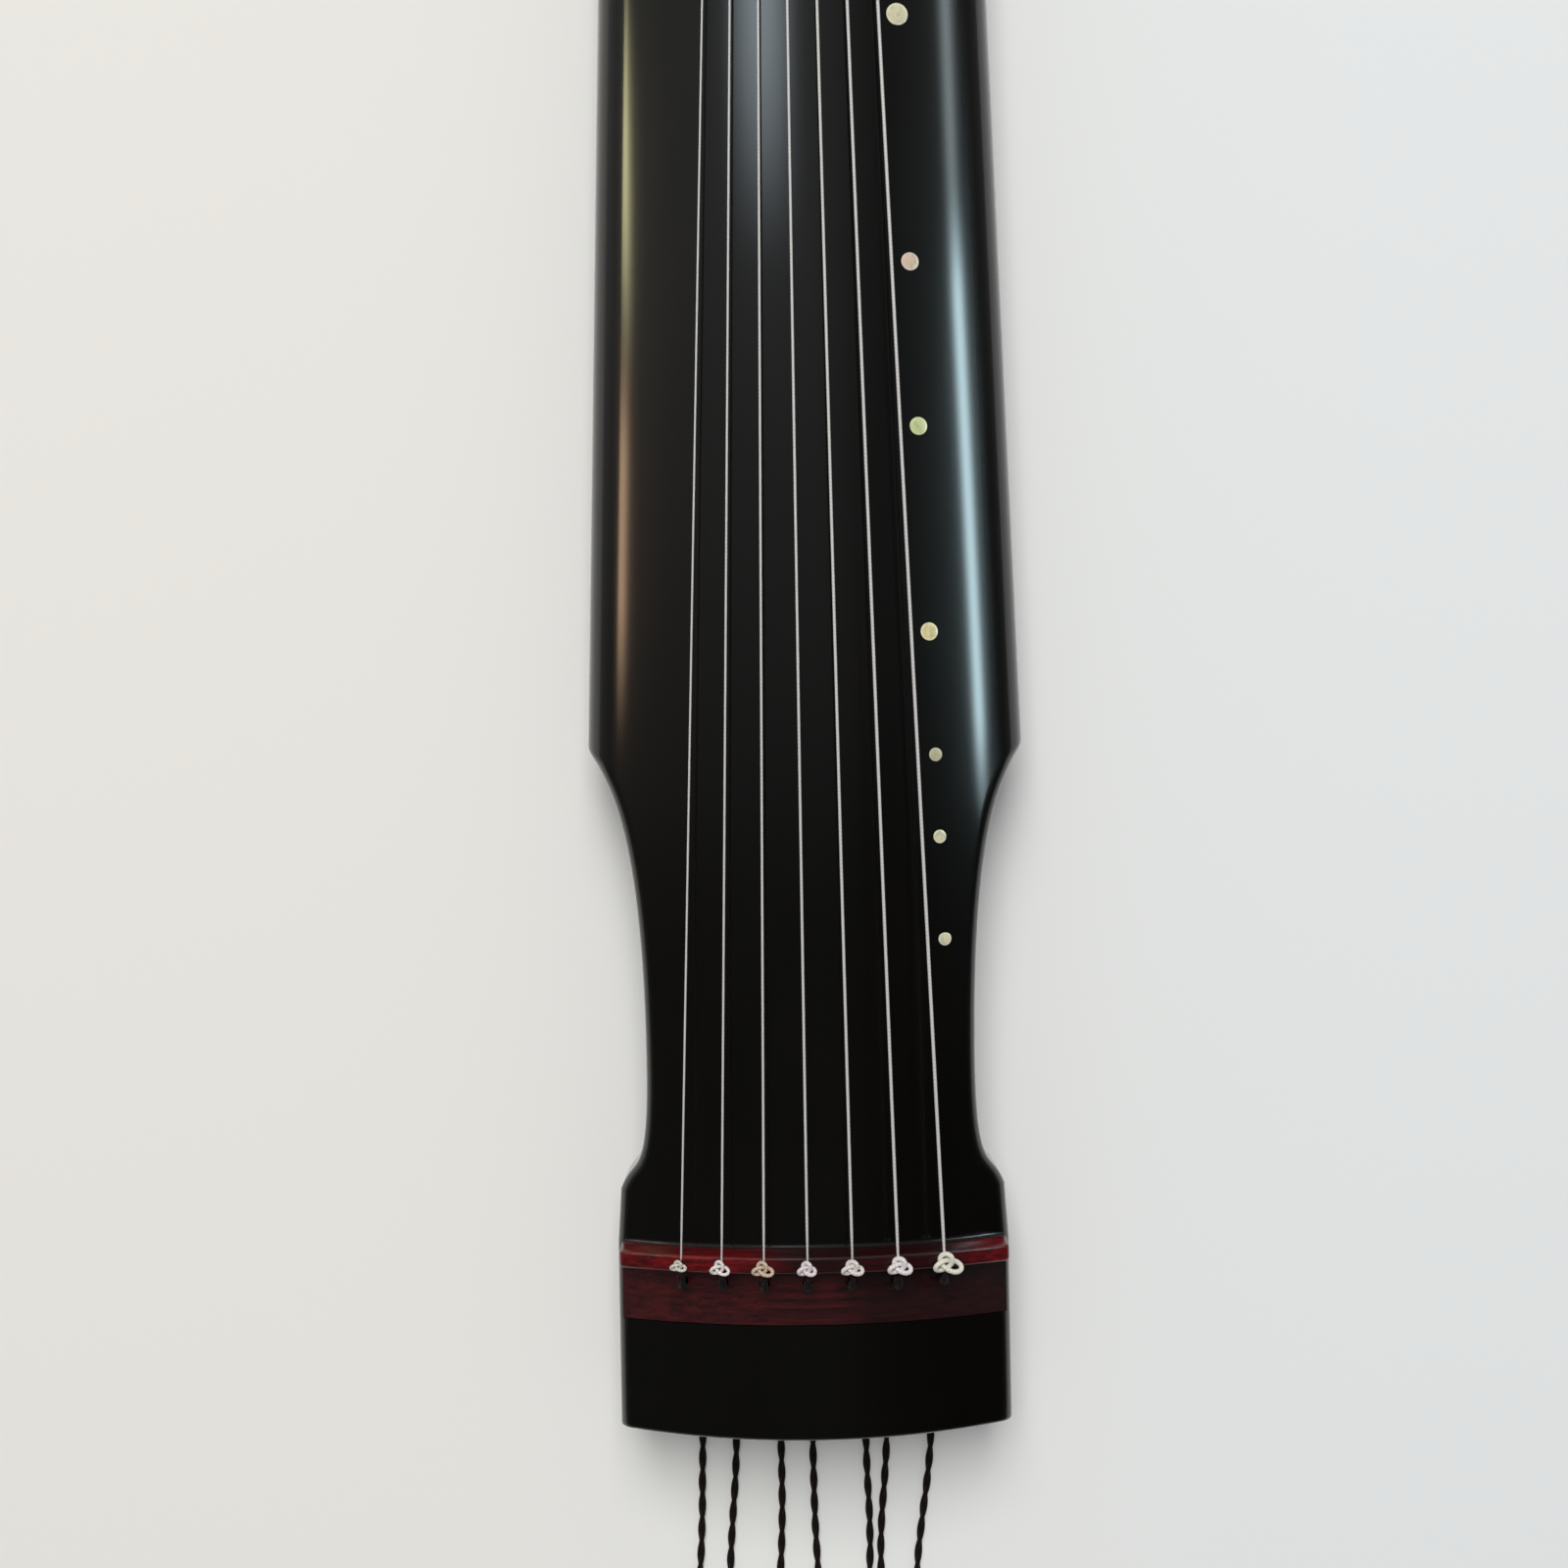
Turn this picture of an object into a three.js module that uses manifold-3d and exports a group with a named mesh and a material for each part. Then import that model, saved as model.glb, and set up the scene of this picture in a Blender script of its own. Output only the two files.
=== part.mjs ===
import * as THREE from "three";
import { mergeVertices } from "three/addons/utils/BufferGeometryUtils.js";
import Module from "manifold-3d";

// A guqin, the seven-stringed zither, lying on its feet. Millimetres, +Z up, +X towards the head end
// and +Y towards the side with the studs. The origin is on the ground, midway along the instrument.

const wasm = await Module();
wasm.setup();

// Fits
const seatGap = 0.3;
const overrun = 2;
const weldTolerance = 0.001;

// Body: lengths are taken from the head end or, where the name says so, from the tail end
const overallLength = 1222;
const standHeight = 27;
const bodyDepth = 51;
const bottomThickness = 10;
const plateThickness = 10;
const wallThickness = 14;
const shoulderWidth = 201.6;
const neckWidth = 150.2;
const headCornerWidth = 176.6;
const headWidth = 180;
const tailWidth = 144.2;
const shoulderFromHead = 314.6;
const neckFromHead = 170.3;
const headCornerFromHead = 110.6;
const headBow = 1.6;
const stationSpacing = 90;

// Arch of the top
const archRadius = 240;
const edgeRadius = 20;
const edgeRound = 5;
const bridgeDip = 5;
const bridgeDipLength = 200;
const tailDip = 3;
const tailDipLength = 180;

// Curves of the neck, as shares of the run that each one covers
const shoulderLeaveShares = { along: 0.1, across: 0.24 };
const shoulderArriveShare = 0.16;
const headLeaveShare = 0.96;
const headArriveShares = { along: 0.72, across: 0.52 };

// Waist: a shallow step along both sides
const waistInset = 9;
const waistStepLength = 24;
const waistHeadEndFromTail = 451;
const waistTailEndFromTail = 237;
const waistTurnShare = 0.12;

// Chamber inside
const headBlockLength = 150;
const tailBlockLength = 52;
const padDepth = 6;
const padMargin = 14;
const roundPostDiameter = 17;
const roundPostFromHead = 352;
const squarePostWidth = 15;
const squarePostFromHead = 688;

// Sound holes in the bottom board
const longHoleLength = 210;
const longHoleWidth = 25;
const longHoleFromHead = 507;
const shortHoleLength = 110;
const shortHoleWidth = 23;
const shortHoleFromTail = 226;

// Bridge and string hole strip
const bridgeFromHead = 86.2;
const bridgeTopWidth = 7.4;
const bridgeHeight = 12.6;
const bridgeBatter = 1.2;
const bridgeRound = 0.9;
const bridgeEndInset = 2;
const stripFromHead = 52.6;
const stripThickness = 3;
const stripRise = 0.4;

// Strings, numbered from 1, the thickest, on the studded side
const stringCount = 7;
const thickestString = 1.5;
const stringThinning = 0.1;
const lastStringAtBridge = -59.5;
const bridgePitch = 18.2;
const bridgePitchGrowth = 0.53;
const lastStringAtTail = -21.6;
const tailPitch = 6.6;
const windingGap = 0.45;
const footTurns = 1.5;

// Fly-head knots: three lobes of string lying on the bridge
const largestLobe = 4.8;
const lobeShrink = 0.32;
const knotFromBridgeFront = 4.2;
const lobeShares = [
  { along: -0.3, across: 0 },
  { along: 0.18, across: -0.66 },
  { along: 0.26, across: 0.68 },
];
const lobeCordShare = 0.19;

// Tail nut, its support and the corners
const nutWidth = 62;
const nutLength = 27;
const nutRise = 4;
const nutRound = 14;
const nutDepth = 26;
const supportRound = 3;
const cornerLength = 74;
const cornerRise = 2.2;
const cornerTipWidth = 15;
const cornerEdgeInset = 3;

// Studs let into the top, one at each simple share of the speaking length
const studShares = [1 / 8, 1 / 6, 1 / 5, 1 / 4, 1 / 3, 2 / 5, 1 / 2, 3 / 5, 2 / 3, 3 / 4, 4 / 5, 5 / 6, 7 / 8];
const smallStud = 6.2;
const mediumStud = 8.2;
const largeStud = 10;
const studThickness = 1.2;
const studProud = 0.06;
const firstStudAcross = 61.5;
const studConvergence = 29.4;

// Feet and peg guards
const footFromTail = 344;
const footAcross = 50;
const footWidth = 22;
const footNeckWidth = 16;
const footBase = 3;
const footCollar = 2;
const footFlare = 2;
const tenonWidth = 12;
const tenonLength = 9;
const guardLength = 48;
const guardThickness = 11;
const guardAcross = 79;
const guardRound = 9;

// Tuning pegs, their pool and the panel that they bear on
const poolLength = 30;
const poolMargin = 11;
const panelThickness = 3;
const pegHoleFromHead = 71.5;
const pegGroundGap = 3;
const pegWidth = 14.5;
const pegWaistWidth = 11.5;
const pegNeckWidth = 8.6;
const pegCollarWidth = 12;
const pegCollar = 1.6;
const pegFlare = 1.8;
const pegBoreDepth = 12;
const pegFacets = 8;
const pegSideHoleWidth = 3;

// Tuning cords: two-ply, one to a string
const cordWidth = 3.7;
const cordClearance = 0.45;
const cordTurns = 1.5;
const cordIntoPeg = 6;

// Sides and steps of the round forms
const roundSteps = 12;
const cordSides = 6;
const bendSteps = 5;
const archSteps = 7;
const neckSteps = 11;

// Places worked out from the sizes above
const headX = overallLength / 2;
const shoulderX = headX - shoulderFromHead;
const neckX = headX - neckFromHead;
const headCornerX = headX - headCornerFromHead;
const bridgeX = headX - bridgeFromHead;
const bridgeBackX = bridgeX + bridgeTopWidth;
const stripBackX = headX - stripFromHead;
const tailX = seatGap + thickestString - headX;
const nutFrontX = tailX + nutLength;
const speakingLength = bridgeX - nutFrontX;
const pegX = headX - pegHoleFromHead;
const footX = footFromTail - headX;
const bottomTop = standHeight + bottomThickness;
const topBase = bottomTop + seatGap;
const highest = standHeight + bodyDepth + overrun;
const taperShare = (shoulderWidth - tailWidth) / 2 / (shoulderX - tailX);
const cordRadius = cordWidth / 2;
const longHoleX = headX - longHoleFromHead;
const shortHoleX = shortHoleFromTail - headX;
const stringHoleRadius = cordRadius + cordClearance;
const strings = Array.from({ length: stringCount }, (_, index) => index + 1);

// Colours and surfaces
const finishes = {
  lacquer: { color: 0x121213, roughness: 0.25, metalness: 0 },
  underLacquer: { color: 0x141212, roughness: 0.35, metalness: 0 },
  rosewood: { color: 0x4a1316, roughness: 0.35, metalness: 0 },
  bridgeWood: { color: 0x5c1418, roughness: 0.3, metalness: 0 },
  pineWood: { color: 0xb08a5a, roughness: 0.7, metalness: 0 },
  shell: { color: 0xd8cba6, roughness: 0.3, metalness: 0 },
  string: { color: 0xc9c7c4, roughness: 0.35, metalness: 0.6 },
  cord: { color: 0x141313, roughness: 0.85, metalness: 0 },
};

const group = new THREE.Group();

function addPiece(name, shape, finish) {
  const geometry = shape.isBufferGeometry ? shape : toGeometry(shape);
  geometry.computeVertexNormals();
  const mesh = new THREE.Mesh(geometry, new THREE.MeshStandardMaterial(finishes[finish]));
  mesh.name = name;
  group.add(mesh);
}

// Closed geometry to a solid that can be cut and joined, and back
function toSolid(geometry) {
  const bare = new THREE.BufferGeometry();
  bare.setAttribute("position", geometry.getAttribute("position"));
  if (geometry.index) bare.setIndex(geometry.index);
  const merged = mergeVertices(bare, weldTolerance);
  const vertProperties = merged.attributes.position.array;
  const triVerts = new Uint32Array(merged.index.array);
  return new wasm.Manifold(new wasm.Mesh({ numProp: 3, vertProperties, triVerts }));
}

function toGeometry(solid) {
  const mesh = solid.getMesh();
  const geometry = new THREE.BufferGeometry();
  geometry.setAttribute("position", new THREE.BufferAttribute(mesh.vertProperties, 3));
  geometry.setIndex(new THREE.BufferAttribute(mesh.triVerts, 1));
  return geometry;
}

function cutFrom(body, tools) {
  return tools.reduce((left, tool) => left.subtract(tool), body);
}

// Turns the faces round if the shape came out inside out
function outward(geometry) {
  const { array } = geometry.attributes.position;
  const faces = geometry.index.array;
  const corner = (index) => new THREE.Vector3().fromArray(array, faces[index] * 3);
  let volume = 0;
  for (let f = 0; f < faces.length; f += 3) {
    volume += corner(f).dot(corner(f + 1).cross(corner(f + 2)));
  }
  if (volume < 0) geometry.setIndex(Array.from(faces).reverse());
  return geometry;
}

// A closed skin through rings of the same count of points; flat gives a ring's two coordinates for its caps
function loft(rings, flat) {
  const count = rings[0].length;
  const faces = [];
  for (let r = 0; r + 1 < rings.length; r += 1) {
    for (let i = 0; i < count; i += 1) {
      const a = r * count + i;
      const b = r * count + ((i + 1) % count);
      faces.push(a, b, b + count, a, b + count, a + count);
    }
  }
  const capRing = (ring, start, reversed) => {
    const outline = ring.map(flat);
    const turned = THREE.ShapeUtils.isClockWise(outline) !== reversed;
    THREE.ShapeUtils.triangulateShape(outline, []).forEach(([a, b, c]) => {
      faces.push(start + a, start + (turned ? c : b), start + (turned ? b : c));
    });
  };
  capRing(rings[0], 0, true);
  capRing(rings.at(-1), (rings.length - 1) * count, false);
  const geometry = new THREE.BufferGeometry().setFromPoints(rings.flat());
  geometry.setIndex(faces);
  return outward(geometry);
}

const acrossBody = (point) => new THREE.Vector2(point.y, point.z);
const alongBody = (point) => new THREE.Vector2(point.x, point.z);

function plate(shape, fromZ, toZ, curveSteps = roundSteps) {
  const depth = toZ - fromZ;
  return new THREE.ExtrudeGeometry(shape, { depth, bevelEnabled: false, curveSegments: curveSteps })
    .translate(0, 0, fromZ);
}

function block(fromX, toX, fromY, toY, fromZ, toZ) {
  return new THREE.BoxGeometry(toX - fromX, toY - fromY, toZ - fromZ)
    .translate((fromX + toX) / 2, (fromY + toY) / 2, (fromZ + toZ) / 2);
}

function rod(x, y, radius, fromZ, toZ, sides = roundSteps) {
  return new THREE.CylinderGeometry(radius, radius, toZ - fromZ, sides)
    .rotateX(Math.PI / 2)
    .translate(x, y, (fromZ + toZ) / 2);
}

// A polyline that a section is swept along, with a ring at each of its points
class Route extends THREE.Curve {
  constructor(points) {
    super();
    this.points = points;
  }
  getPoint(share) {
    return this.points[Math.round(share * (this.points.length - 1))].clone();
  }
  getPointAt(share) {
    return this.getPoint(share);
  }
  getTangent(share) {
    const { points } = this;
    const index = Math.round(share * (points.length - 1));
    const step = (from, to) => points[to].clone().sub(points[from]).normalize();
    const arriving = index > 0 ? step(index - 1, index) : step(0, 1);
    const leaving = index + 1 < points.length ? step(index, index + 1) : arriving;
    return arriving.clone().add(leaving).normalize();
  }
  getTangentAt(share) {
    return this.getTangent(share);
  }
}

function tube(points, radius, sides = cordSides) {
  const section = new THREE.Shape(
    Array.from({ length: sides }, (_, side) => {
      const angle = (2 * Math.PI * side) / sides;
      return new THREE.Vector2(radius * Math.cos(angle), radius * Math.sin(angle));
    }),
  );
  return new THREE.ExtrudeGeometry(section, {
    steps: points.length - 1,
    extrudePath: new Route(points),
    bevelEnabled: false,
  });
}

// Points of a winding that goes round an upright axis and comes down a pitch a turn
function winding(axis, radius, startAngle, turn, turns, startZ, pitch) {
  const steps = Math.round(turns * roundSteps);
  return Array.from({ length: steps + 1 }, (_, step) => {
    const angle = startAngle + (turn * 2 * Math.PI * step) / roundSteps;
    return new THREE.Vector3(
      axis.x + radius * Math.cos(angle),
      axis.y + radius * Math.sin(angle),
      startZ - (pitch * step) / roundSteps,
    );
  });
}

// The least air between turns of a winding, taken between points at least half a turn apart
function leastGap(points, width) {
  let least = Infinity;
  points.forEach((point, index) => {
    points.slice(index + roundSteps / 2).forEach((other) => {
      least = Math.min(least, point.distanceTo(other) - width);
    });
  });
  return least;
}

// Shape of the body

function taperHalf(x) {
  return shoulderWidth / 2 + (x - shoulderX) * taperShare;
}

function crownHeight(x) {
  const nearBridge = THREE.MathUtils.smoothstep(x, bridgeX - bridgeDipLength, bridgeX);
  const nearTail = 1 - THREE.MathUtils.smoothstep(x, tailX, tailX + tailDipLength);
  return standHeight + bodyDepth - bridgeDip * nearBridge - tailDip * nearTail;
}

// Height of the top at a place: a wide arc that rolls over to the taper lines, with its edge rounded
// where the outline is cut inside them
function archHeight(x, y, halfWidth) {
  const across = Math.abs(y);
  const crown = crownHeight(x);
  const taper = taperHalf(x);
  const sine = (taper - edgeRadius) / (archRadius - edgeRadius);
  const rollY = (archRadius - edgeRadius) * sine;
  const rollZ = crown - archRadius + (archRadius - edgeRadius) * Math.sqrt(1 - sine * sine);
  const drop = (radius, distance) => Math.sqrt(Math.max(0, radius * radius - distance * distance));
  const arc = crown - archRadius + drop(archRadius, across);
  const height = across < archRadius * sine ? arc : rollZ + drop(edgeRadius, across - rollY);
  const round = Math.min(edgeRound, taper - halfWidth);
  const past = across - (halfWidth - round);
  return past > 0 && round > 0 ? height - round + drop(round, past) : height;
}

function bowAt(x, y) {
  const share = Math.max(0, (x - stripBackX) / (headX - stripBackX));
  return headBow * share * ((2 * y) / headWidth) ** 2;
}

// Half width along the body, from the tail to the head, as points of x and half width
function halfOutline(curveSteps) {
  const path = new THREE.Path();
  const waistTailX = waistTailEndFromTail - headX;
  const waistHeadX = waistHeadEndFromTail - headX;
  const waist = (x) => taperHalf(x) - waistInset;
  const shoulderHalf = shoulderWidth / 2;
  const neckHalf = neckWidth / 2;
  const cornerHalf = headCornerWidth / 2;
  const turn = waistStepLength * waistTurnShare;
  path.moveTo(tailX, taperHalf(tailX));
  path.lineTo(waistTailX, taperHalf(waistTailX));
  path.quadraticCurveTo(waistTailX + turn, waist(waistTailX), waistTailX + waistStepLength,
    waist(waistTailX + waistStepLength));
  path.lineTo(waistHeadX - waistStepLength, waist(waistHeadX - waistStepLength));
  path.quadraticCurveTo(waistHeadX - turn, waist(waistHeadX), waistHeadX, taperHalf(waistHeadX));
  path.lineTo(shoulderX, shoulderHalf);
  path.bezierCurveTo(
    shoulderX + shoulderLeaveShares.along * (neckX - shoulderX),
    shoulderHalf + shoulderLeaveShares.across * (neckHalf - shoulderHalf),
    shoulderX + shoulderArriveShare * (neckX - shoulderX),
    neckHalf,
    neckX,
    neckHalf,
  );
  path.bezierCurveTo(
    neckX + headLeaveShare * (headCornerX - neckX),
    neckHalf,
    neckX + headArriveShares.along * (headCornerX - neckX),
    neckHalf + headArriveShares.across * (cornerHalf - neckHalf),
    headCornerX,
    cornerHalf,
  );
  path.lineTo(bridgeX, headWidth / 2);
  path.lineTo(stripBackX, headWidth / 2);
  path.lineTo(headX, headWidth / 2);
  return path.getPoints(curveSteps);
}

function withStations(points) {
  const stations = [];
  points.forEach((point, index) => {
    const last = points[index - 1];
    const parts = last ? Math.ceil((point.x - last.x) / stationSpacing) : 1;
    for (let part = 1; part <= parts; part += 1) {
      stations.push(last ? last.clone().lerp(point, part / parts) : point);
    }
  });
  return stations;
}

function archRing(x, halfWidth, steps, baseZ, below) {
  const ring = [new THREE.Vector3(x - bowAt(x, halfWidth), -halfWidth, baseZ)];
  for (let step = -steps; step <= steps; step += 1) {
    const y = halfWidth * Math.sin((step / steps) * (Math.PI / 2));
    ring.push(new THREE.Vector3(x - bowAt(x, y), y, archHeight(x, y, halfWidth) - below));
  }
  ring.push(new THREE.Vector3(x - bowAt(x, halfWidth), halfWidth, baseZ));
  return ring;
}

function slotShape(x, length, width) {
  const shape = new THREE.Shape();
  const radius = width / 2;
  const reach = length / 2 - radius;
  shape.absarc(x + reach, 0, radius, -Math.PI / 2, Math.PI / 2, false);
  shape.absarc(x - reach, 0, radius, Math.PI / 2, (3 * Math.PI) / 2, false);
  return shape;
}

// Places of the strings

function stringWidth(number) {
  return thickestString - stringThinning * (number - 1);
}

function stringAtBridge(number) {
  const place = stringCount - number;
  return lastStringAtBridge + bridgePitch * place + (bridgePitchGrowth * place * (place - 1)) / 2;
}

function stringAtTail(number) {
  return lastStringAtTail + tailPitch * (stringCount - number);
}

function bridgeTopAt(y) {
  return archHeight(bridgeX, y, taperHalf(bridgeX)) + bridgeHeight;
}

function stringHoles(fromZ, toZ) {
  return strings.map((number) =>
    toSolid(rod(pegX, stringAtBridge(number), stringHoleRadius, fromZ, toZ)));
}

// Soundboard

function chamber() {
  const tailEnd = tailX + tailBlockLength;
  const headEnd = headX - headBlockLength;
  const inside = withStations(halfOutline(3)).filter(({ x }) => x > tailEnd && x < headEnd);
  const first = new THREE.Vector2(tailEnd, taperHalf(tailEnd));
  const last = new THREE.Vector2(headEnd, inside.at(-1).y);
  const rings = [first, ...inside, last].map(({ x, y }) =>
    archRing(x, y - wallThickness, archSteps - 2, bottomTop - overrun, plateThickness));
  return toSolid(loft(rings, acrossBody));
}

function padUnder(length, width, x) {
  const shape = slotShape(x, length + 2 * padMargin, width + 2 * padMargin);
  const ceiling = crownHeight(x) - plateThickness;
  return toSolid(plate(shape, ceiling - padDepth, ceiling + padDepth, roundSteps / 2));
}

function studWidth(index) {
  const fromMiddle = Math.abs(index - (studShares.length - 1) / 2);
  if (fromMiddle === 0) return largeStud;
  return fromMiddle > studShares.length / 4 ? smallStud : mediumStud;
}

function stud(index, margin) {
  const share = studShares[index];
  const x = bridgeX - speakingLength * share;
  const along = (share - studShares[0]) / (studShares.at(-1) - studShares[0]);
  const y = firstStudAcross - studConvergence * along;
  const depth = studThickness + margin;
  const lift = margin > 0 ? overrun : studProud;
  return new THREE.CylinderGeometry(studWidth(index) / 2 + margin, studWidth(index) / 2 + margin,
    depth + lift, roundSteps)
    .rotateX(Math.PI / 2)
    .translate(0, 0, (lift - depth) / 2)
    .rotateX(-Math.asin(y / archRadius))
    .translate(x, y, archHeight(x, y, taperHalf(x)));
}

function tailNotch() {
  const half = nutWidth / 2 + seatGap;
  return toSolid(block(tailX - overrun, nutFrontX + seatGap, -half, half, standHeight, highest));
}

// The arched blank before anything is cut in it; what lies on the top is fitted to it
function topBlank() {
  const rings = withStations(halfOutline(neckSteps)).map(({ x, y }) =>
    archRing(x, y, archSteps, topBase, 0));
  return toSolid(loft(rings, acrossBody));
}

function raised(solid, height) {
  return solid.translate([0, 0, height]);
}

function stripColumn(margin) {
  const half = headWidth / 2 - bridgeEndInset + margin;
  return toSolid(block(bridgeBackX + bridgeBatter + seatGap - margin, stripBackX + margin,
    -half, half, bottomTop, highest));
}

function soundboard(blank, hollow) {
  const stripBed = stripColumn(seatGap).subtract(raised(blank, stripRise - stripThickness - seatGap));
  return cutFrom(blank, [
    hollow,
    stripBed,
    tailNotch(),
    ...stringHoles(standHeight, highest),
    ...studShares.map((_, index) => toSolid(stud(index, seatGap))),
  ]);
}

// Bottom board, with the sound holes, the peg pool and the mortises of the feet

function poolShape(margin) {
  const radius = poolMargin / 3;
  const fromX = pegX - poolLength / 2 + margin;
  const toX = pegX + poolLength / 2 - margin;
  const fromY = stringAtBridge(stringCount) - poolMargin + margin;
  const toY = stringAtBridge(1) + poolMargin - margin;
  const shape = new THREE.Shape();
  shape.absarc(toX - radius, fromY + radius, radius, -Math.PI / 2, 0, false);
  shape.absarc(toX - radius, toY - radius, radius, 0, Math.PI / 2, false);
  shape.absarc(fromX + radius, toY - radius, radius, Math.PI / 2, Math.PI, false);
  shape.absarc(fromX + radius, fromY + radius, radius, Math.PI, (3 * Math.PI) / 2, false);
  return shape;
}

function bottomBoard() {
  const side = halfOutline(neckSteps).slice(0, -1);
  const half = headWidth / 2;
  const notch = nutWidth / 2 + seatGap;
  const shape = new THREE.Shape();
  shape.moveTo(nutFrontX + seatGap, -notch);
  shape.lineTo(tailX, -notch);
  side.forEach(({ x, y }) => shape.lineTo(x, -y));
  shape.lineTo(headX - headBow, -half);
  shape.quadraticCurveTo(headX + headBow, 0, headX - headBow, half);
  side.reverse().forEach(({ x, y }) => shape.lineTo(x, y));
  shape.lineTo(tailX, notch);
  shape.lineTo(nutFrontX + seatGap, notch);
  shape.holes.push(slotShape(longHoleX, longHoleLength, longHoleWidth));
  shape.holes.push(slotShape(shortHoleX, shortHoleLength, shortHoleWidth));
  shape.holes.push(poolShape(0));
  [-footAcross, footAcross].forEach((y) => {
    shape.holes.push(new THREE.Shape().absarc(footX, y, tenonWidth / 2 + seatGap, 0, 2 * Math.PI));
  });
  return plate(shape, standHeight, bottomTop, archSteps);
}

// Fittings of the head

function bridge(blank) {
  const half = headWidth / 2 - bridgeEndInset;
  const profile = [
    [-bridgeBatter, -bridgeRound],
    [-bridgeBatter / 4, bridgeHeight - bridgeRound],
    [bridgeRound, bridgeHeight],
    [bridgeTopWidth - bridgeRound, bridgeHeight],
    [bridgeTopWidth + bridgeBatter / 4, bridgeHeight - bridgeRound],
    [bridgeTopWidth + bridgeBatter / 2, -bridgeRound],
  ];
  const places = 2 * archSteps;
  const rings = Array.from({ length: places + 1 }, (_, place) => {
    const y = half * ((2 * place) / places - 1);
    const ground = archHeight(bridgeX, y, taperHalf(bridgeX));
    return profile.map(([x, rise]) => new THREE.Vector3(bridgeX + x, y, ground + rise));
  });
  return toSolid(loft(rings, alongBody)).subtract(raised(blank, seatGap));
}

function stringHoleStrip(blank) {
  const slab = raised(blank, stripRise).subtract(raised(blank, stripRise - stripThickness));
  return cutFrom(slab.intersect(stripColumn(0)), stringHoles(bottomTop, highest));
}

function pegPanel() {
  const panel = plate(poolShape(seatGap), bottomTop - panelThickness, bottomTop, archSteps - 2);
  return cutFrom(toSolid(panel), stringHoles(standHeight, bottomTop + overrun));
}

function pegGuard(side) {
  const fromX = pegX - guardLength / 2;
  const toX = pegX + guardLength / 2;
  const top = standHeight - seatGap;
  const shape = new THREE.Shape();
  shape.moveTo(fromX, top);
  shape.quadraticCurveTo(fromX, 0, fromX + 2 * guardRound, 0);
  shape.lineTo(toX - guardRound, 0);
  shape.absarc(toX - guardRound, guardRound, guardRound, -Math.PI / 2, 0, false);
  shape.lineTo(toX, top);
  return plate(shape, -guardThickness / 2, guardThickness / 2, archSteps)
    .rotateX(Math.PI / 2)
    .translate(0, side * guardAcross, 0);
}

// Tuning peg: collar, round neck for the cord, faceted body, and a bore that the cord comes up through

function pegLevels() {
  const top = bottomTop - panelThickness - seatGap;
  const neckTop = top - pegCollar;
  const neckBottom = neckTop - (cordTurns + 1) * (cordWidth + windingGap) - windingGap;
  return { top, neckTop, neckBottom, bottom: pegGroundGap };
}

function peg(number) {
  const { top, neckTop, neckBottom, bottom } = pegLevels();
  const profile = [
    [0, bottom],
    [pegWidth / 2 - pegFlare, bottom],
    [pegWidth / 2, bottom + pegFlare],
    [pegWidth / 2, bottom + 2 * pegFlare],
    [pegWaistWidth / 2, (bottom + neckBottom) / 2],
    [pegWidth / 2 - pegFlare / 2, neckBottom - pegFlare],
    [pegNeckWidth / 2, neckBottom],
    [pegNeckWidth / 2, neckTop],
    [pegCollarWidth / 2, neckTop],
    [pegCollarWidth / 2, top],
    [0, top],
  ].map(([radius, height]) => new THREE.Vector2(radius, height));
  const y = stringAtBridge(number);
  const body = new THREE.LatheGeometry(profile, pegFacets).rotateX(Math.PI / 2).translate(pegX, y, 0);
  const bore = rod(pegX, y, stringHoleRadius, top - pegBoreDepth, top + overrun, pegFacets);
  const sideHole = rod(0, 0, pegSideHoleWidth / 2, 0, pegWidth, cordSides)
    .rotateY(Math.PI / 2)
    .translate(pegX, y, neckBottom + pegSideHoleWidth);
  return cutFrom(toSolid(body), [toSolid(bore), toSolid(sideHole)]);
}

// Feet and the fittings of the tail

function foot(side) {
  const collarTop = standHeight - seatGap;
  const profile = [
    [0, 0],
    [footWidth / 2, 0],
    [footWidth / 2, footBase],
    [footNeckWidth / 2, footBase + footFlare],
    [footNeckWidth / 2, collarTop - footCollar],
    [footWidth / 2, collarTop - footCollar],
    [footWidth / 2, collarTop],
    [tenonWidth / 2, collarTop],
    [tenonWidth / 2, collarTop + tenonLength],
    [0, collarTop + tenonLength],
  ].map(([radius, height]) => new THREE.Vector2(radius, height));
  return new THREE.LatheGeometry(profile, roundSteps)
    .rotateX(Math.PI / 2)
    .translate(footX, side * footAcross, 0);
}

function nutTop() {
  return crownHeight(nutFrontX) + nutRise;
}

function acrossTail(shape) {
  return plate(shape, -nutWidth / 2, nutWidth / 2, bendSteps + 1).rotateX(Math.PI / 2);
}

function tailNut() {
  const low = standHeight + nutDepth;
  const high = nutTop();
  const shape = new THREE.Shape();
  shape.moveTo(nutFrontX, low);
  shape.lineTo(nutFrontX, high);
  shape.absarc(tailX + nutRound, high - nutRound, nutRound, Math.PI / 2, Math.PI, false);
  shape.lineTo(tailX, low);
  return acrossTail(shape);
}

function tailNutSupport() {
  const high = standHeight + nutDepth - seatGap;
  const shape = new THREE.Shape();
  shape.moveTo(nutFrontX, high);
  shape.lineTo(tailX, high);
  shape.absarc(tailX + supportRound, standHeight + supportRound, supportRound, Math.PI,
    (3 * Math.PI) / 2, false);
  shape.lineTo(nutFrontX, standHeight);
  return acrossTail(shape);
}

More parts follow.
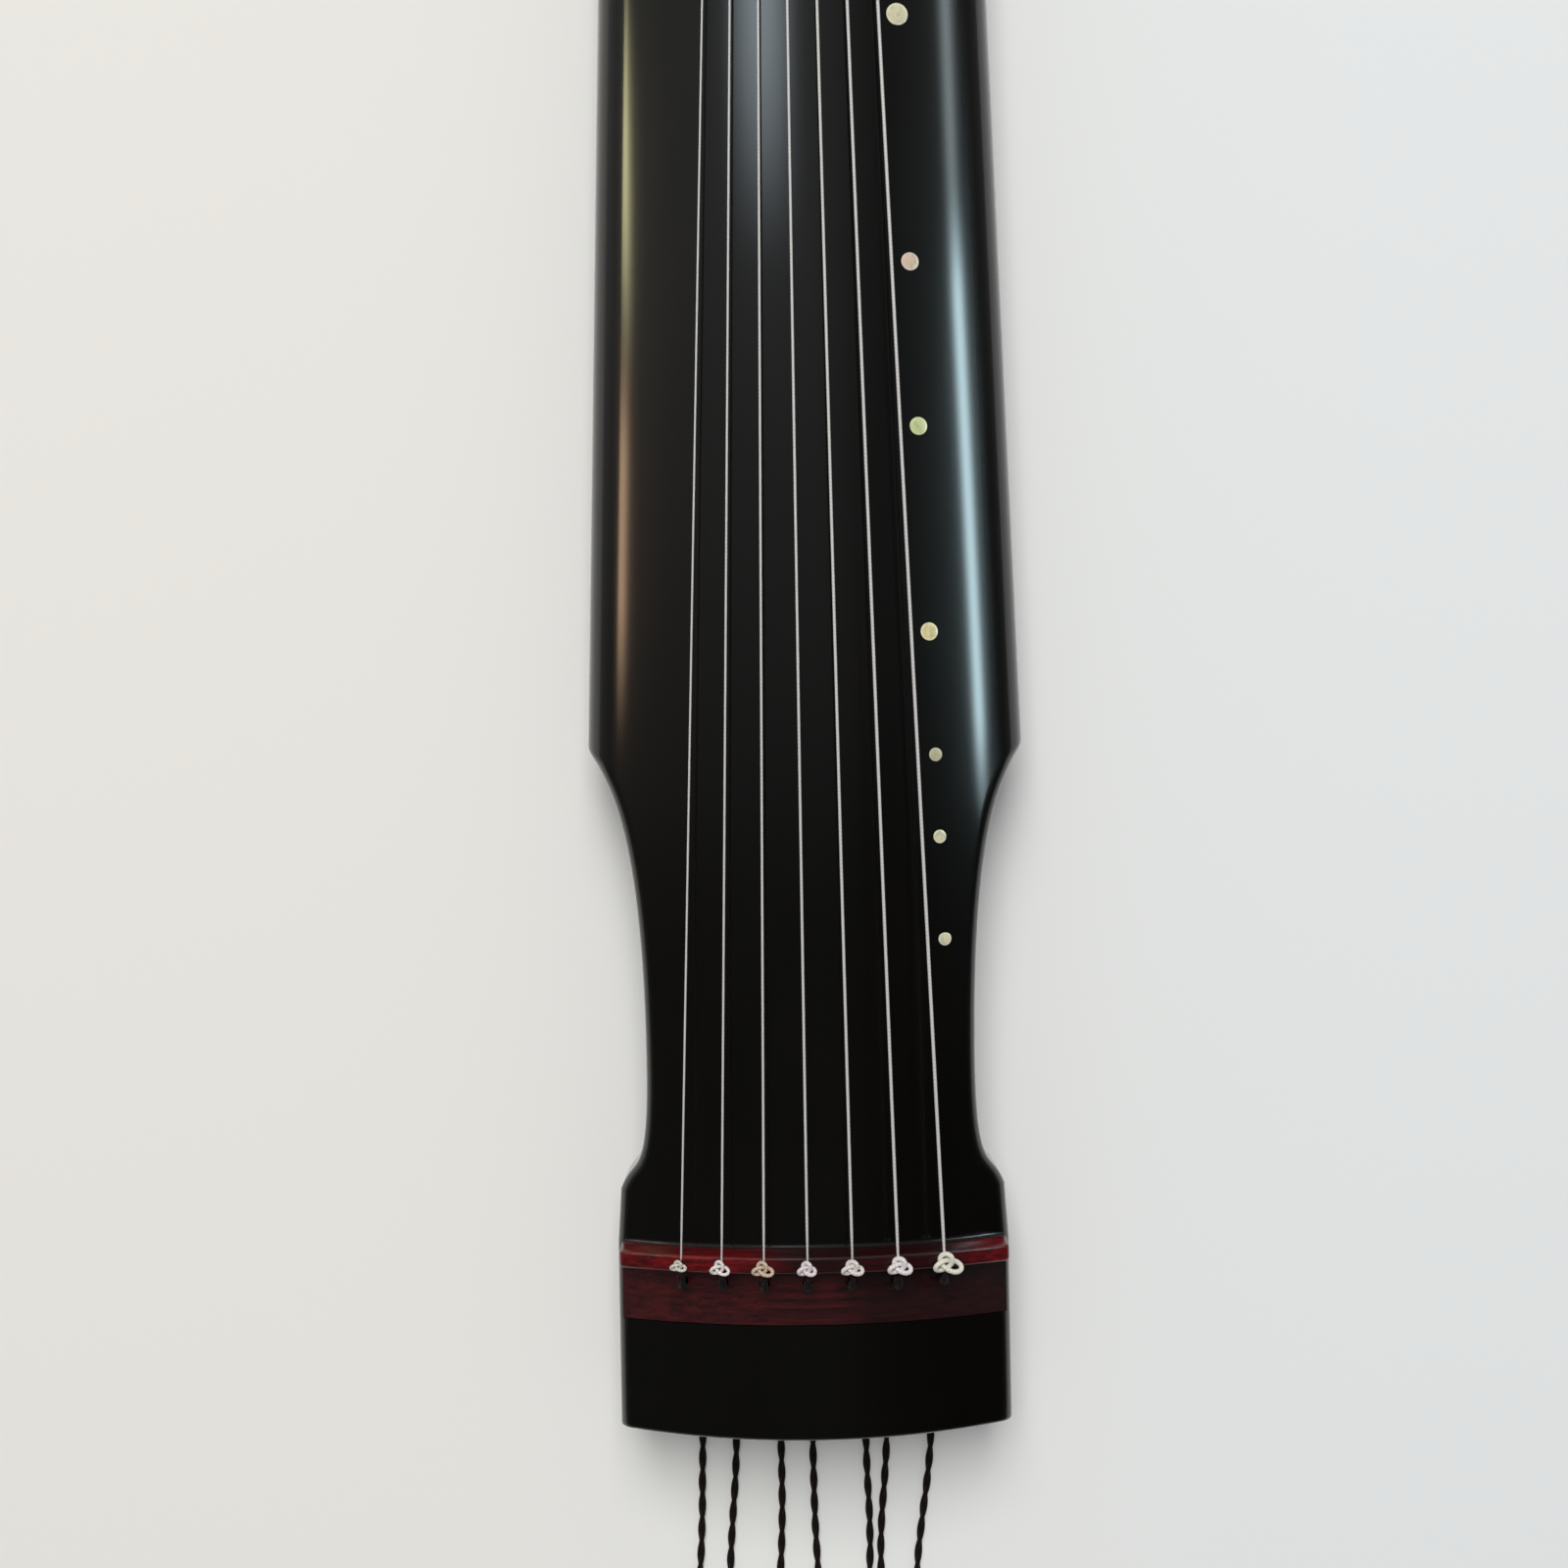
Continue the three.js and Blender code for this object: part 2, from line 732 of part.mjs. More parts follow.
// A plate over each corner of the tail, with a long curved tip along the edge
function tailCorner(blank, side) {
  const inner = nutWidth / 2 + seatGap;
  const frontX = tailX + cornerLength;
  const edge = (x) => taperHalf(x) - cornerEdgeInset;
  const shape = new THREE.Shape();
  shape.moveTo(tailX, side * inner);
  shape.lineTo(nutFrontX, side * inner);
  shape.bezierCurveTo(
    (nutFrontX + frontX) / 2, side * inner,
    nutFrontX, side * (edge(frontX) - cornerTipWidth),
    frontX, side * (edge(frontX) - cornerTipWidth / 3),
  );
  shape.lineTo(frontX, side * edge(frontX));
  shape.lineTo(tailX, side * edge(tailX));
  const slab = raised(blank, cornerRise).subtract(raised(blank, seatGap));
  return slab.intersect(toSolid(plate(shape, topBase, highest, archSteps)));
}

// Strings

function bend(centerX, centerZ, y, radius, fromAngle, toAngle) {
  return Array.from({ length: bendSteps + 1 }, (_, step) => {
    const angle = fromAngle + ((toAngle - fromAngle) * step) / bendSteps;
    return new THREE.Vector3(centerX + radius * Math.cos(angle), y, centerZ + radius * Math.sin(angle));
  });
}

// Strings 1 to 4 are tied to the foot on the studded side and 5 to 7 to the other, each below the last
function footSide(number) {
  return number <= Math.ceil(stringCount / 2) ? 1 : -1;
}

function stringPitch(number) {
  return stringWidth(number) + windingGap;
}

function footWindingTop(number) {
  const above = strings.filter((other) => other < number && footSide(other) === footSide(number));
  const used = above.reduce((sum, other) => sum + (footTurns + 1) * stringPitch(other), 0);
  return standHeight - seatGap - footCollar - windingGap - stringWidth(number) / 2 - used;
}

function footWinding(number, from) {
  const side = footSide(number);
  const axis = new THREE.Vector2(footX, side * footAcross);
  const radius = footNeckWidth / 2 + windingGap + stringWidth(number) / 2;
  const away = new THREE.Vector2(from.x, from.y).sub(axis);
  const startAngle = away.angle() + side * Math.acos(radius / away.length());
  return winding(axis, radius, startAngle, side, footTurns, footWindingTop(number),
    stringPitch(number));
}

function straightEnd(points, length) {
  const last = points.at(-1);
  const heading = last.clone().sub(points.at(-2)).normalize();
  return last.clone().addScaledVector(heading, length);
}

function stringRoute(number) {
  const width = stringWidth(number);
  const off = seatGap + width / 2;
  const bridgeY = stringAtBridge(number);
  const tailY = stringAtTail(number);
  const bridgeZ = bridgeTopAt(bridgeY) + off;
  const lobe = lobeWidth(number);
  const start = bridgeX + knotFromBridgeFront + lobeShares[0].along * lobe - lobe / 2 + width / 2;
  const under = new THREE.Vector3(tailX + supportRound, tailY, standHeight - off);
  const turns = footWinding(number, under);
  return {
    turns,
    points: [
      new THREE.Vector3(start, bridgeY, bridgeZ),
      new THREE.Vector3(bridgeX, bridgeY, bridgeZ),
      new THREE.Vector3(nutFrontX, tailY, nutTop() + off),
      ...bend(tailX + nutRound, nutTop() - nutRound, tailY, nutRound + off, Math.PI / 2, Math.PI),
      ...bend(tailX + supportRound, standHeight + supportRound, tailY, supportRound + off,
        Math.PI, (3 * Math.PI) / 2),
      ...turns,
      straightEnd(turns, width),
    ],
  };
}

function lobeWidth(number) {
  return largestLobe - lobeShrink * (number - 1);
}

// Three lobes of the knot, tilted to lie on the arched bridge
function knotLobes(number) {
  const y = stringAtBridge(number);
  const lobe = lobeWidth(number);
  const thickness = lobe * lobeCordShare;
  const lift = seatGap + thickness;
  return lobeShares.map(({ along, across }) =>
    new THREE.TorusGeometry(lobe / 2 - thickness, thickness, cordSides - 1, roundSteps - 3)
      .translate(along * lobe, across * lobe, lift)
      .rotateX(-Math.asin(y / archRadius))
      .translate(bridgeX + knotFromBridgeFront, y, bridgeTopAt(y)));
}

function string(number) {
  const { points, turns } = stringRoute(number);
  const width = stringWidth(number);
  const gap = leastGap(turns, width);
  console.log(`string ${number}: least gap in its foot winding ${gap.toFixed(2)} mm`);
  return knotLobes(number)
    .map(toSolid)
    .reduce((joined, lobe) => joined.add(lobe), toSolid(tube(points, width / 2)));
}

// Tuning cords: an upper part from the knot to the peg, and a tail that starts round the peg's neck

function upperCord(number) {
  const y = stringAtBridge(number);
  const lobe = lobeWidth(number);
  const startX = bridgeX + knotFromBridgeFront + lobe + seatGap;
  const startZ = bridgeTopAt(y) + seatGap + cordRadius;
  const radius = pegX - startX;
  const points = [
    ...bend(startX, startZ - radius, y, radius, Math.PI / 2, 0),
    new THREE.Vector3(pegX, y, pegLevels().top - cordIntoPeg),
  ];
  return tube(points, cordRadius, 2 + cordSides);
}

// Side of its peg that each tail leaves on, cord 1 first
const tailLeaves = [-1, -1, 1, 1, 1, 1, 1];

// Tail routes, chosen by hand: x and z are shared, y is each cord's own and so is where it ends
const tailPlaces = [
  [545, 23.6], [552, 22.1], [559, 18], [565.5, 12.5], [572.5, 6.8], [582, 3], [597, 1.9],
  [615, 1.9], [636, 1.9], [655, 1.9], [675, 1.9], [697, 1.9], [720, 1.9], [743, 1.9],
];
const tailAcross = [
  [51.2, 51.3, 51.7, 52.3, 53.1, 54, 55.2, 56, 56.2, 54.4, 51.5, 48.8, 48.2, 50.1],
  [30.1, 30.1, 30.3, 30.8, 31.6, 32.6, 33.8, 34.6, 34.6, 33.4, 31.6, 30.8, 31.8, 34.4],
  [22.7, 22.8, 23, 23.3, 23.6, 23.9, 24.2, 24.4, 24.5, 24.9, 25.6, 25.4, 23.6, 20.6],
  [3.4, 3.3, 2.9, 2.3, 1.5, 0.6, -0.4, -1.2, -1.5, -1.4, -1.1, -0.2, 1.2, 2.4],
  [-15.7, -15.8, -16, -16.4, -16.7, -17, -17.2, -17.2, -17.1, -17, -17.2, -18.2, -20, -21.6],
  [-34.6, -34.7, -35.1, -35.6, -36.3, -37, -37.9, -38.6, -38.9, -39.8, -41.4, -42.8, -42.6, -40.4],
  [-52.7, -52.8, -53.1, -53.5, -54, -54.4, -54.9, -55.2, -55.4, -55.9, -56.4, -57.6, -60, -63.2],
];
const tailEnds = [
  [768, 53.4], [781, 37.6], [760, 17.9], [786, 2.2], [771, -22], [765, -37.1], [779, -66.3],
];

function cordTail(number) {
  const side = tailLeaves[number - 1];
  const y = stringAtBridge(number);
  const { neckTop } = pegLevels();
  const radius = pegNeckWidth / 2 + windingGap + cordRadius;
  const startZ = neckTop - windingGap - cordRadius;
  const pitch = cordWidth + windingGap;
  const leaveAngle = (side * Math.PI) / 2;
  const turns = winding({ x: pegX, y }, radius, leaveAngle + side * 2 * Math.PI * cordTurns, -side,
    cordTurns, startZ, pitch);
  const gap = leastGap(turns, cordWidth);
  console.log(`cord ${number}: least gap in its peg winding ${gap.toFixed(2)} mm`);
  const across = tailAcross[number - 1];
  const run = tailPlaces.map(([x, z], index) => new THREE.Vector3(x, across[index], z));
  const [endX, endY] = tailEnds[number - 1];
  run.push(new THREE.Vector3(endX, endY, run.at(-1).z));
  return tube([...turns, ...run], cordRadius);
}

// Assembly

const blank = topBlank();
const hollow = cutFrom(chamber(), [
  padUnder(longHoleLength, longHoleWidth, longHoleX),
  padUnder(shortHoleLength, shortHoleWidth, shortHoleX),
]);
const hollowBelow = raised(hollow, -seatGap);
const postBase = bottomTop + seatGap;
const squareX = headX - squarePostFromHead;
const squareHalf = squarePostWidth / 2;
const roundPost = rod(headX - roundPostFromHead, 0, roundPostDiameter / 2, postBase, highest);
const squarePost = block(squareX - squareHalf, squareX + squareHalf, -squareHalf, squareHalf,
  postBase, highest);

addPiece("soundboard", soundboard(blank, hollow), "lacquer");
addPiece("bottom_board", bottomBoard(), "underLacquer");
addPiece("round_sound_post", toSolid(roundPost).intersect(hollowBelow), "pineWood");
addPiece("square_sound_post", toSolid(squarePost).intersect(hollowBelow), "pineWood");
addPiece("bridge", bridge(blank), "bridgeWood");
addPiece("string_hole_strip", stringHoleStrip(blank), "rosewood");
addPiece("peg_panel", pegPanel(), "rosewood");
addPiece("tail_nut", tailNut(), "rosewood");
addPiece("tail_nut_support", tailNutSupport(), "rosewood");
[["far", 1], ["near", -1]].forEach(([place, side]) => {
  addPiece(`${place}_peg_guard`, pegGuard(side), "rosewood");
  addPiece(`${place}_foot`, foot(side), "rosewood");
  addPiece(`${place}_tail_corner`, tailCorner(blank, side), "rosewood");
});
studShares.forEach((_, index) => addPiece(`stud_${index + 1}`, stud(index, 0), "shell"));
strings.forEach((number) => {
  addPiece(`string_${number}`, string(number), "string");
  addPiece(`tuning_peg_${number}`, peg(number), "rosewood");
  addPiece(`tuning_cord_${number}`, upperCord(number), "cord");
  addPiece(`cord_tail_${number}`, cordTail(number), "cord");
});

export default group;
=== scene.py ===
import math

import bmesh
import bpy
from mathutils import Matrix, Vector


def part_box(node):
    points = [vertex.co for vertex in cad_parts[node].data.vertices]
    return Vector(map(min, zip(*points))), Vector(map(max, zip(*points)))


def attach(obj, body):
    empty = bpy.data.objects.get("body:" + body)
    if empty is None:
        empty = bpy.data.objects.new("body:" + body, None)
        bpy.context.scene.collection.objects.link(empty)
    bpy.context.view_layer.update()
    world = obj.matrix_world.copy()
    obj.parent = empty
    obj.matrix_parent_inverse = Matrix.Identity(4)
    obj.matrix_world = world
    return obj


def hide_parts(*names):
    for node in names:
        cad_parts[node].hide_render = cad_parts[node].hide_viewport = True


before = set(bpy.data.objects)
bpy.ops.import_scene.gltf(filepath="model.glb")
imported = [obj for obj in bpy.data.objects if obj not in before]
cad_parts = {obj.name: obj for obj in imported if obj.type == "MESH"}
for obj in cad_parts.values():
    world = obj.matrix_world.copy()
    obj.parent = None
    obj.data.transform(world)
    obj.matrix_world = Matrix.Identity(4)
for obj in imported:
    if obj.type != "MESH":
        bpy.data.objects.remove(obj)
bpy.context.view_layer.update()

# A guqin, the seven-stringed zither, dressed round its CAD frame. Metres, +Z up, +X towards the head end
# and +Y towards the side with the studs.

MM = 0.001

# Camera: straight above the head half, turned so that the head end is at the foot of the picture
PHOTO_PIXELS = 1600
FOCAL_PIXELS = 1756.5
CAMERA_PLACE = (0.3155, -0.01, 0.845)
CAMERA_TURN = math.radians(89)

camera_data = bpy.data.cameras.new("camera")
camera_data.lens = camera_data.sensor_width * FOCAL_PIXELS / PHOTO_PIXELS
camera_data.dof.use_dof = False
camera = bpy.data.objects.new("camera", camera_data)
camera.location = CAMERA_PLACE
camera.rotation_euler = (0, 0, CAMERA_TURN)
bpy.context.scene.collection.objects.link(camera)
bpy.context.scene.camera = camera
bpy.context.scene.view_settings.view_transform = "Standard"

# Body, as in the CAD
HEAD_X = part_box("soundboard")[1].x
TAIL_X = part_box("soundboard")[0].x
STAND_HEIGHT = 27 * MM
BODY_DEPTH = 51 * MM
BOTTOM_THICKNESS = 10 * MM
PLATE_THICKNESS = 10 * MM
WALL_THICKNESS = 14 * MM
SHOULDER_WIDTH = 201.6 * MM
NECK_WIDTH = 150.2 * MM
HEAD_CORNER_WIDTH = 176.6 * MM
HEAD_WIDTH = 180 * MM
TAIL_WIDTH = 144.2 * MM
SHOULDER_X = HEAD_X - 314.6 * MM
NECK_X = HEAD_X - 170.3 * MM
HEAD_CORNER_X = HEAD_X - 110.6 * MM
HEAD_BOW = 1.6 * MM
SEAT_GAP = 0.3 * MM
OVERRUN = 2 * MM
BOTTOM_TOP = STAND_HEIGHT + BOTTOM_THICKNESS
TOP_BASE = BOTTOM_TOP + SEAT_GAP
HIGHEST = STAND_HEIGHT + BODY_DEPTH + OVERRUN

# Arch of the top
ARCH_RADIUS = 240 * MM
EDGE_RADIUS = 20 * MM
EDGE_ROUND = 5 * MM
END_ROUND = 2.5 * MM
BRIDGE_DIP = 5 * MM
BRIDGE_DIP_LENGTH = 200 * MM
TAIL_DIP = 3 * MM
TAIL_DIP_LENGTH = 180 * MM
TAPER_SHARE = (SHOULDER_WIDTH - TAIL_WIDTH) / 2 / (SHOULDER_X - TAIL_X)

# Waist
WAIST_INSET = 9 * MM
WAIST_STEP = 24 * MM
WAIST_HEAD_X = 451 * MM - HEAD_X
WAIST_TAIL_X = 237 * MM - HEAD_X
WAIST_TURN_SHARE = 0.12

# Curves of the shoulder and the neck: control points, as shares of the run along the body and of the
# change of width
SHOULDER_CURVE = ((0.1, 0.24), (0.16, 1))
NECK_CURVE = ((0.96, 0), (0.72, 0.52))

# Chamber and sound holes
CHAMBER_TAIL_X = TAIL_X + 52 * MM
CHAMBER_HEAD_X = HEAD_X - 150 * MM
PAD_DEPTH = 6 * MM
PAD_MARGIN = 14 * MM
PAD_EDGE = 5 * MM
LONG_HOLE = {"x": HEAD_X - 507 * MM, "length": 210 * MM, "width": 25 * MM}
SHORT_HOLE = {"x": 226 * MM - HEAD_X, "length": 110 * MM, "width": 23 * MM}
HOLE_ROUND = 1.6 * MM
RIM_ROUND = 1.5 * MM

# Bridge and string hole strip
BRIDGE_X = HEAD_X - 86.2 * MM
BRIDGE_TOP_WIDTH = 7.4 * MM
BRIDGE_HEIGHT = 12.6 * MM
BRIDGE_BATTER = 1.2 * MM
BRIDGE_FRONT_ROUND = 1.3 * MM
BRIDGE_BACK_ROUND = 1.9 * MM
BRIDGE_END_ROUND = 1.6 * MM
BRIDGE_SINK = 0.9 * MM
BRIDGE_HALF = HEAD_WIDTH / 2 - 2 * MM
STRIP_FRONT_X = BRIDGE_X + BRIDGE_TOP_WIDTH + BRIDGE_BATTER + SEAT_GAP
STRIP_BACK_X = HEAD_X - 52.6 * MM
STRIP_THICKNESS = 3 * MM
STRIP_RISE = 0.4 * MM
STRIP_EDGE = 0.4 * MM
COVE = 1.7 * MM
COVE_END = 1.2 * MM
SKIN = 0.02 * MM

# Strings, number 1 the thickest, on the studded side
STRINGS = range(1, 8)
THICKEST_STRING = 1.5 * MM
STRING_THINNING = 0.1 * MM
LAST_AT_BRIDGE = -59.5 * MM
BRIDGE_PITCH = 18.2 * MM
BRIDGE_PITCH_GROWTH = 0.53 * MM
LAST_AT_TAIL = -21.6 * MM
TAIL_PITCH = 6.6 * MM
WINDING_GAP = 0.45 * MM
FOOT_TURNS = 1.5
REST_GAP = 0.03 * MM
GROOVE_GAP = 0.2 * MM

# Fly-head knots: the overall size of each along and across the bridge, how far its far lobe is drawn out,
# as a share, and how far it sits beside its string
KNOT_FROM_FRONT = 4.2 * MM
LARGEST_LOBE = 4.8 * MM
LOBE_SHRINK = 0.32 * MM
KNOT_SIZES = [(9.4 * MM, 12.6 * MM), (8.2 * MM, 11.4 * MM), (7.2 * MM, 10.5 * MM), (6.9 * MM, 8.9 * MM),
              (7 * MM, 9.8 * MM), (6.8 * MM, 8.8 * MM), (5.2 * MM, 7.9 * MM)]
KNOT_OPEN = [0.42, 0.12, 0.05, 0.03, 0.12, 0.12, 0]
KNOT_BESIDE = [0.1 * MM, 0.2 * MM, -0.2 * MM, -0.4 * MM, -0.6 * MM, -0.8 * MM, -1 * MM]
KNOT_STRAND_SHARE = 0.76
KNOT_STEPS = 96
OPEN_LOBE_TURN = math.radians(60)
TREFOIL_REACH = 3
TREFOIL_LENGTH = 5.06
TREFOIL_WIDTH = 5.48
TREFOIL_SHIFT = 0.47

# Tail fittings, feet and guards
NUT_WIDTH = 62 * MM
NUT_FRONT_X = TAIL_X + 27 * MM
NUT_RISE = 4 * MM
NUT_ROUND = 14 * MM
NUT_DEPTH = 26 * MM
NUT_EDGE = 0.6 * MM
GROOVE_REACH = 15 * MM
SUPPORT_ROUND = 3 * MM
CORNER_FRONT_X = TAIL_X + 74 * MM
CORNER_RISE = 2.2 * MM
CORNER_TIP_WIDTH = 15 * MM
CORNER_INSET = 3 * MM
CORNER_EDGE = 0.7 * MM
FOOT_X = 344 * MM - HEAD_X
FOOT_ACROSS = 50 * MM
FOOT_WIDTH = 22 * MM
FOOT_NECK_WIDTH = 16 * MM
FOOT_BASE = 3 * MM
FOOT_COLLAR = 2 * MM
FOOT_FLARE = 2 * MM
FOOT_EDGE = 0.7 * MM
TENON_WIDTH = 12 * MM
TENON_LENGTH = 9 * MM
GUARD_LENGTH = 48 * MM
GUARD_THICKNESS = 11 * MM
GUARD_ACROSS = 79 * MM
GUARD_ROUND = 9 * MM
GUARD_EDGE = 1.4 * MM

# Tuning pegs and cords
PEG_X = HEAD_X - 71.5 * MM
POOL_LENGTH = 30 * MM
POOL_MARGIN = 11 * MM
PEG_TOP = BOTTOM_TOP - 3 * MM - SEAT_GAP
PEG_GROUND_GAP = 3 * MM
PEG_WIDTH = 14.5 * MM
PEG_WAIST_WIDTH = 11.5 * MM
PEG_NECK_WIDTH = 8.6 * MM
PEG_COLLAR_WIDTH = 12 * MM
PEG_COLLAR = 1.6 * MM
PEG_FLARE = 1.8 * MM
PEG_BORE_DEPTH = 12 * MM
PEG_EDGE = 0.4 * MM
PEG_CHAMFER = 0.3 * MM
PEG_FLUTES = 8
PEG_FLUTE_SHARE = 0.035
CORD_WIDTH = 3.7 * MM
CORD_CLEARANCE = 0.45 * MM
CORD_TURNS = 1.5
CORD_INTO_PEG = 6 * MM
PLY_RADIUS = 1.1 * MM
PLY_OFFSET = CORD_WIDTH / 2 - PLY_RADIUS
TWIST_PITCH = 23 * MM
STRING_HOLE_RADIUS = CORD_WIDTH / 2 + CORD_CLEARANCE


# Light: how strong the room is for matt surfaces and for the camera, and how it falls off in the gloss
ROOM_COLOUR = "#fafafa"
MATT_LIGHT = 0.24
ROOM_LIGHT = 0.82
GLOSS_AT_TAIL = 0.38
GLOSS_AT_HEAD = 0.07
GLOSS_FAR_SHARE = 0.3
GLOSS_LOW = 0.1
LAMP_AIM = Vector((0.2, 0, 0.07))
FLOOR_RADIUS = 12
# How far to each side the painted warm and cool light on the floor reaches
PAINTED_LIGHT_TINT_REACH = 0.35
FLOOR_FADE_START = 0.95
FLOOR_FADE_END = 1.9

# Lacquer: clouds of brown depth, the waves that rubbing leaves, and brush marks
CLOUD_SIZE = (120 * MM, 70 * MM, 70 * MM)
RUBBING_SIZE = (90 * MM, 35 * MM, 35 * MM)
RUBBING_DEPTH = 0.6 * MM
BRUSH_SIZE = (20 * MM, 1.1 * MM, 1.1 * MM)
BRUSH_DEPTH = 0.05 * MM

# Wood
STREAK_LENGTH = 90 * MM
STREAK_WIDTH = 2.2 * MM
STREAK_DRIFT = 30 * MM
PORE_LENGTH = 6 * MM
PORE_WIDTH = 0.6 * MM
PORE_DEPTH = 0.04 * MM
# Painted shade on the bridge and the strip: its colour, and how far it fades in at its edges
PAINTED_SHADE_COLOUR = "#0d0506"
PAINTED_SHADE_EDGE = 26 * MM
PINE_SIZE = (4 * MM, 30 * MM, 200 * MM)

# Shell: its layers, and how much the rim and the middle differ from them
LAYER_SIZE = (4 * MM, 2.5 * MM, 3 * MM)
LAYER_DEPTH = 0.2 * MM
SHELL_SHADE = 0.55

# Rings of the strings and yarns of the cords: their UV maps run in metres along the piece and once
# round it, and at this scale a diagonal wave repeats once in each unit
WAVE_PER_UNIT = 2 * math.pi / 10
RING_WIDTH = 1.2 * MM
RING_DEPTH = 0.03 * MM
YARN_PITCH = 0.8 * MM
YARNS_ROUND = 9
YARN_DEPTH = 0.15 * MM


# Colours and nodes

MIXED_COLOUR = 2


def colour(code):
    """An sRGB hex value as the linear colour that a socket takes"""
    parts = [int(code[start:start + 2], 16) / 255 for start in (1, 3, 5)]
    return [part / 12.92 if part <= 0.04045 else ((part + 0.055) / 1.055) ** 2.4 for part in parts] + [1]


def socket_of(node, name):
    """An input of a node by its name or identifier, or by its place"""
    if isinstance(name, int):
        return node.inputs[name]
    return next(item for item in node.inputs if name in (item.name, item.identifier))


def add(tree, kind, inputs=None, stops=None, **settings):
    """Adds a node with its settings; inputs are values, or the sockets that are linked to it"""
    made = tree.nodes.new(kind)
    for name, value in settings.items():
        setattr(made, name, value)
    for place, (position, code) in enumerate(stops or []):
        elements = made.color_ramp.elements
        element = elements[place] if place < len(elements) else elements.new(position)
        element.position = position
        element.color = colour(code)
    for socket, value in (inputs or {}).items():
        if isinstance(value, bpy.types.NodeSocket):
            tree.links.new(value, socket_of(made, socket))
        else:
            socket_of(made, socket).default_value = value
    return made


def not_matt(tree):
    """1 for what the camera sees straight, in gloss or through glass, and 0 for light on matt surfaces"""
    path = add(tree, "ShaderNodeLightPath").outputs
    seen = add(tree, "ShaderNodeMath", {0: path["Is Camera Ray"], 1: path["Is Glossy Ray"]},
               operation="MAXIMUM").outputs["Value"]
    return add(tree, "ShaderNodeMath", {0: seen, 1: path["Is Transmission Ray"]},
               operation="MAXIMUM").outputs["Value"]


def surface(name, **values):
    """A material with one shader that has these values, and a place on the piece for its patterns"""
    material = bpy.data.materials.new(name)
    material.use_nodes = True
    tree = material.node_tree
    shader = tree.nodes["Principled BSDF"]
    for socket, value in values.items():
        shader.inputs[socket.replace("_", " ")].default_value = value
    place = add(tree, "ShaderNodeTexCoord").outputs["Object"]
    return material, tree, shader, place


def scaled(tree, place, wavelengths, turn=(0, 0, 0)):
    """Stretches a pattern so that it repeats about once in each wavelength, in metres"""
    return add(tree, "ShaderNodeMapping", {"Vector": place, "Rotation": turn,
               "Scale": [1 / length for length in wavelengths]}).outputs["Vector"]


def bumped(tree, shader, height, depth, strength, under=None):
    """Raises the surface by a pattern, over another bump where there is one"""
    inputs = {"Height": height, "Distance": depth, "Strength": strength}
    if under:
        inputs["Normal"] = under
    made = add(tree, "ShaderNodeBump", inputs)
    tree.links.new(made.outputs["Normal"], shader.inputs["Normal"])
    return made.outputs["Normal"]


# Raw lacquer from the lac tree, brushed on in many coats and rubbed: black with brown depth, a soft
# gloss that the rubbing leaves slightly wavy
def rubbed_lacquer():
    material, tree, shader, place = surface("raw_lacquer_rubbed", Roughness=0.25, IOR=1.5, Coat_Weight=0.85,
                                            Coat_Roughness=0.1, Specular_IOR_Level=0.12)
    cloud = add(tree, "ShaderNodeTexNoise", {"Vector": scaled(tree, place, CLOUD_SIZE), "Scale": 1,
                "Detail": 3, "Roughness": 0.6})
    tint = add(tree, "ShaderNodeValToRGB", {"Fac": cloud.outputs["Fac"]},
               stops=[(0.3, "#040302"), (0.55, "#060504"), (0.75, "#080604")])
    tree.links.new(tint.outputs["Color"], shader.inputs["Base Color"])
    haze = add(tree, "ShaderNodeMapRange", {"Value": cloud.outputs["Fac"], "To Min": 0.26, "To Max": 0.34})
    tree.links.new(haze.outputs["Result"], shader.inputs["Roughness"])
    wave = add(tree, "ShaderNodeTexNoise", {"Vector": scaled(tree, place, RUBBING_SIZE), "Scale": 1,
               "Detail": 1.5, "Roughness": 0.45})
    rubbed = bumped(tree, shader, wave.outputs["Fac"], RUBBING_DEPTH, 0.5)
    brushed = add(tree, "ShaderNodeTexNoise", {"Vector": scaled(tree, place, BRUSH_SIZE), "Scale": 1,
                  "Detail": 2, "Roughness": 0.5})
    bumped(tree, shader, brushed.outputs["Fac"], BRUSH_DEPTH, 0.12, rubbed)
    return material
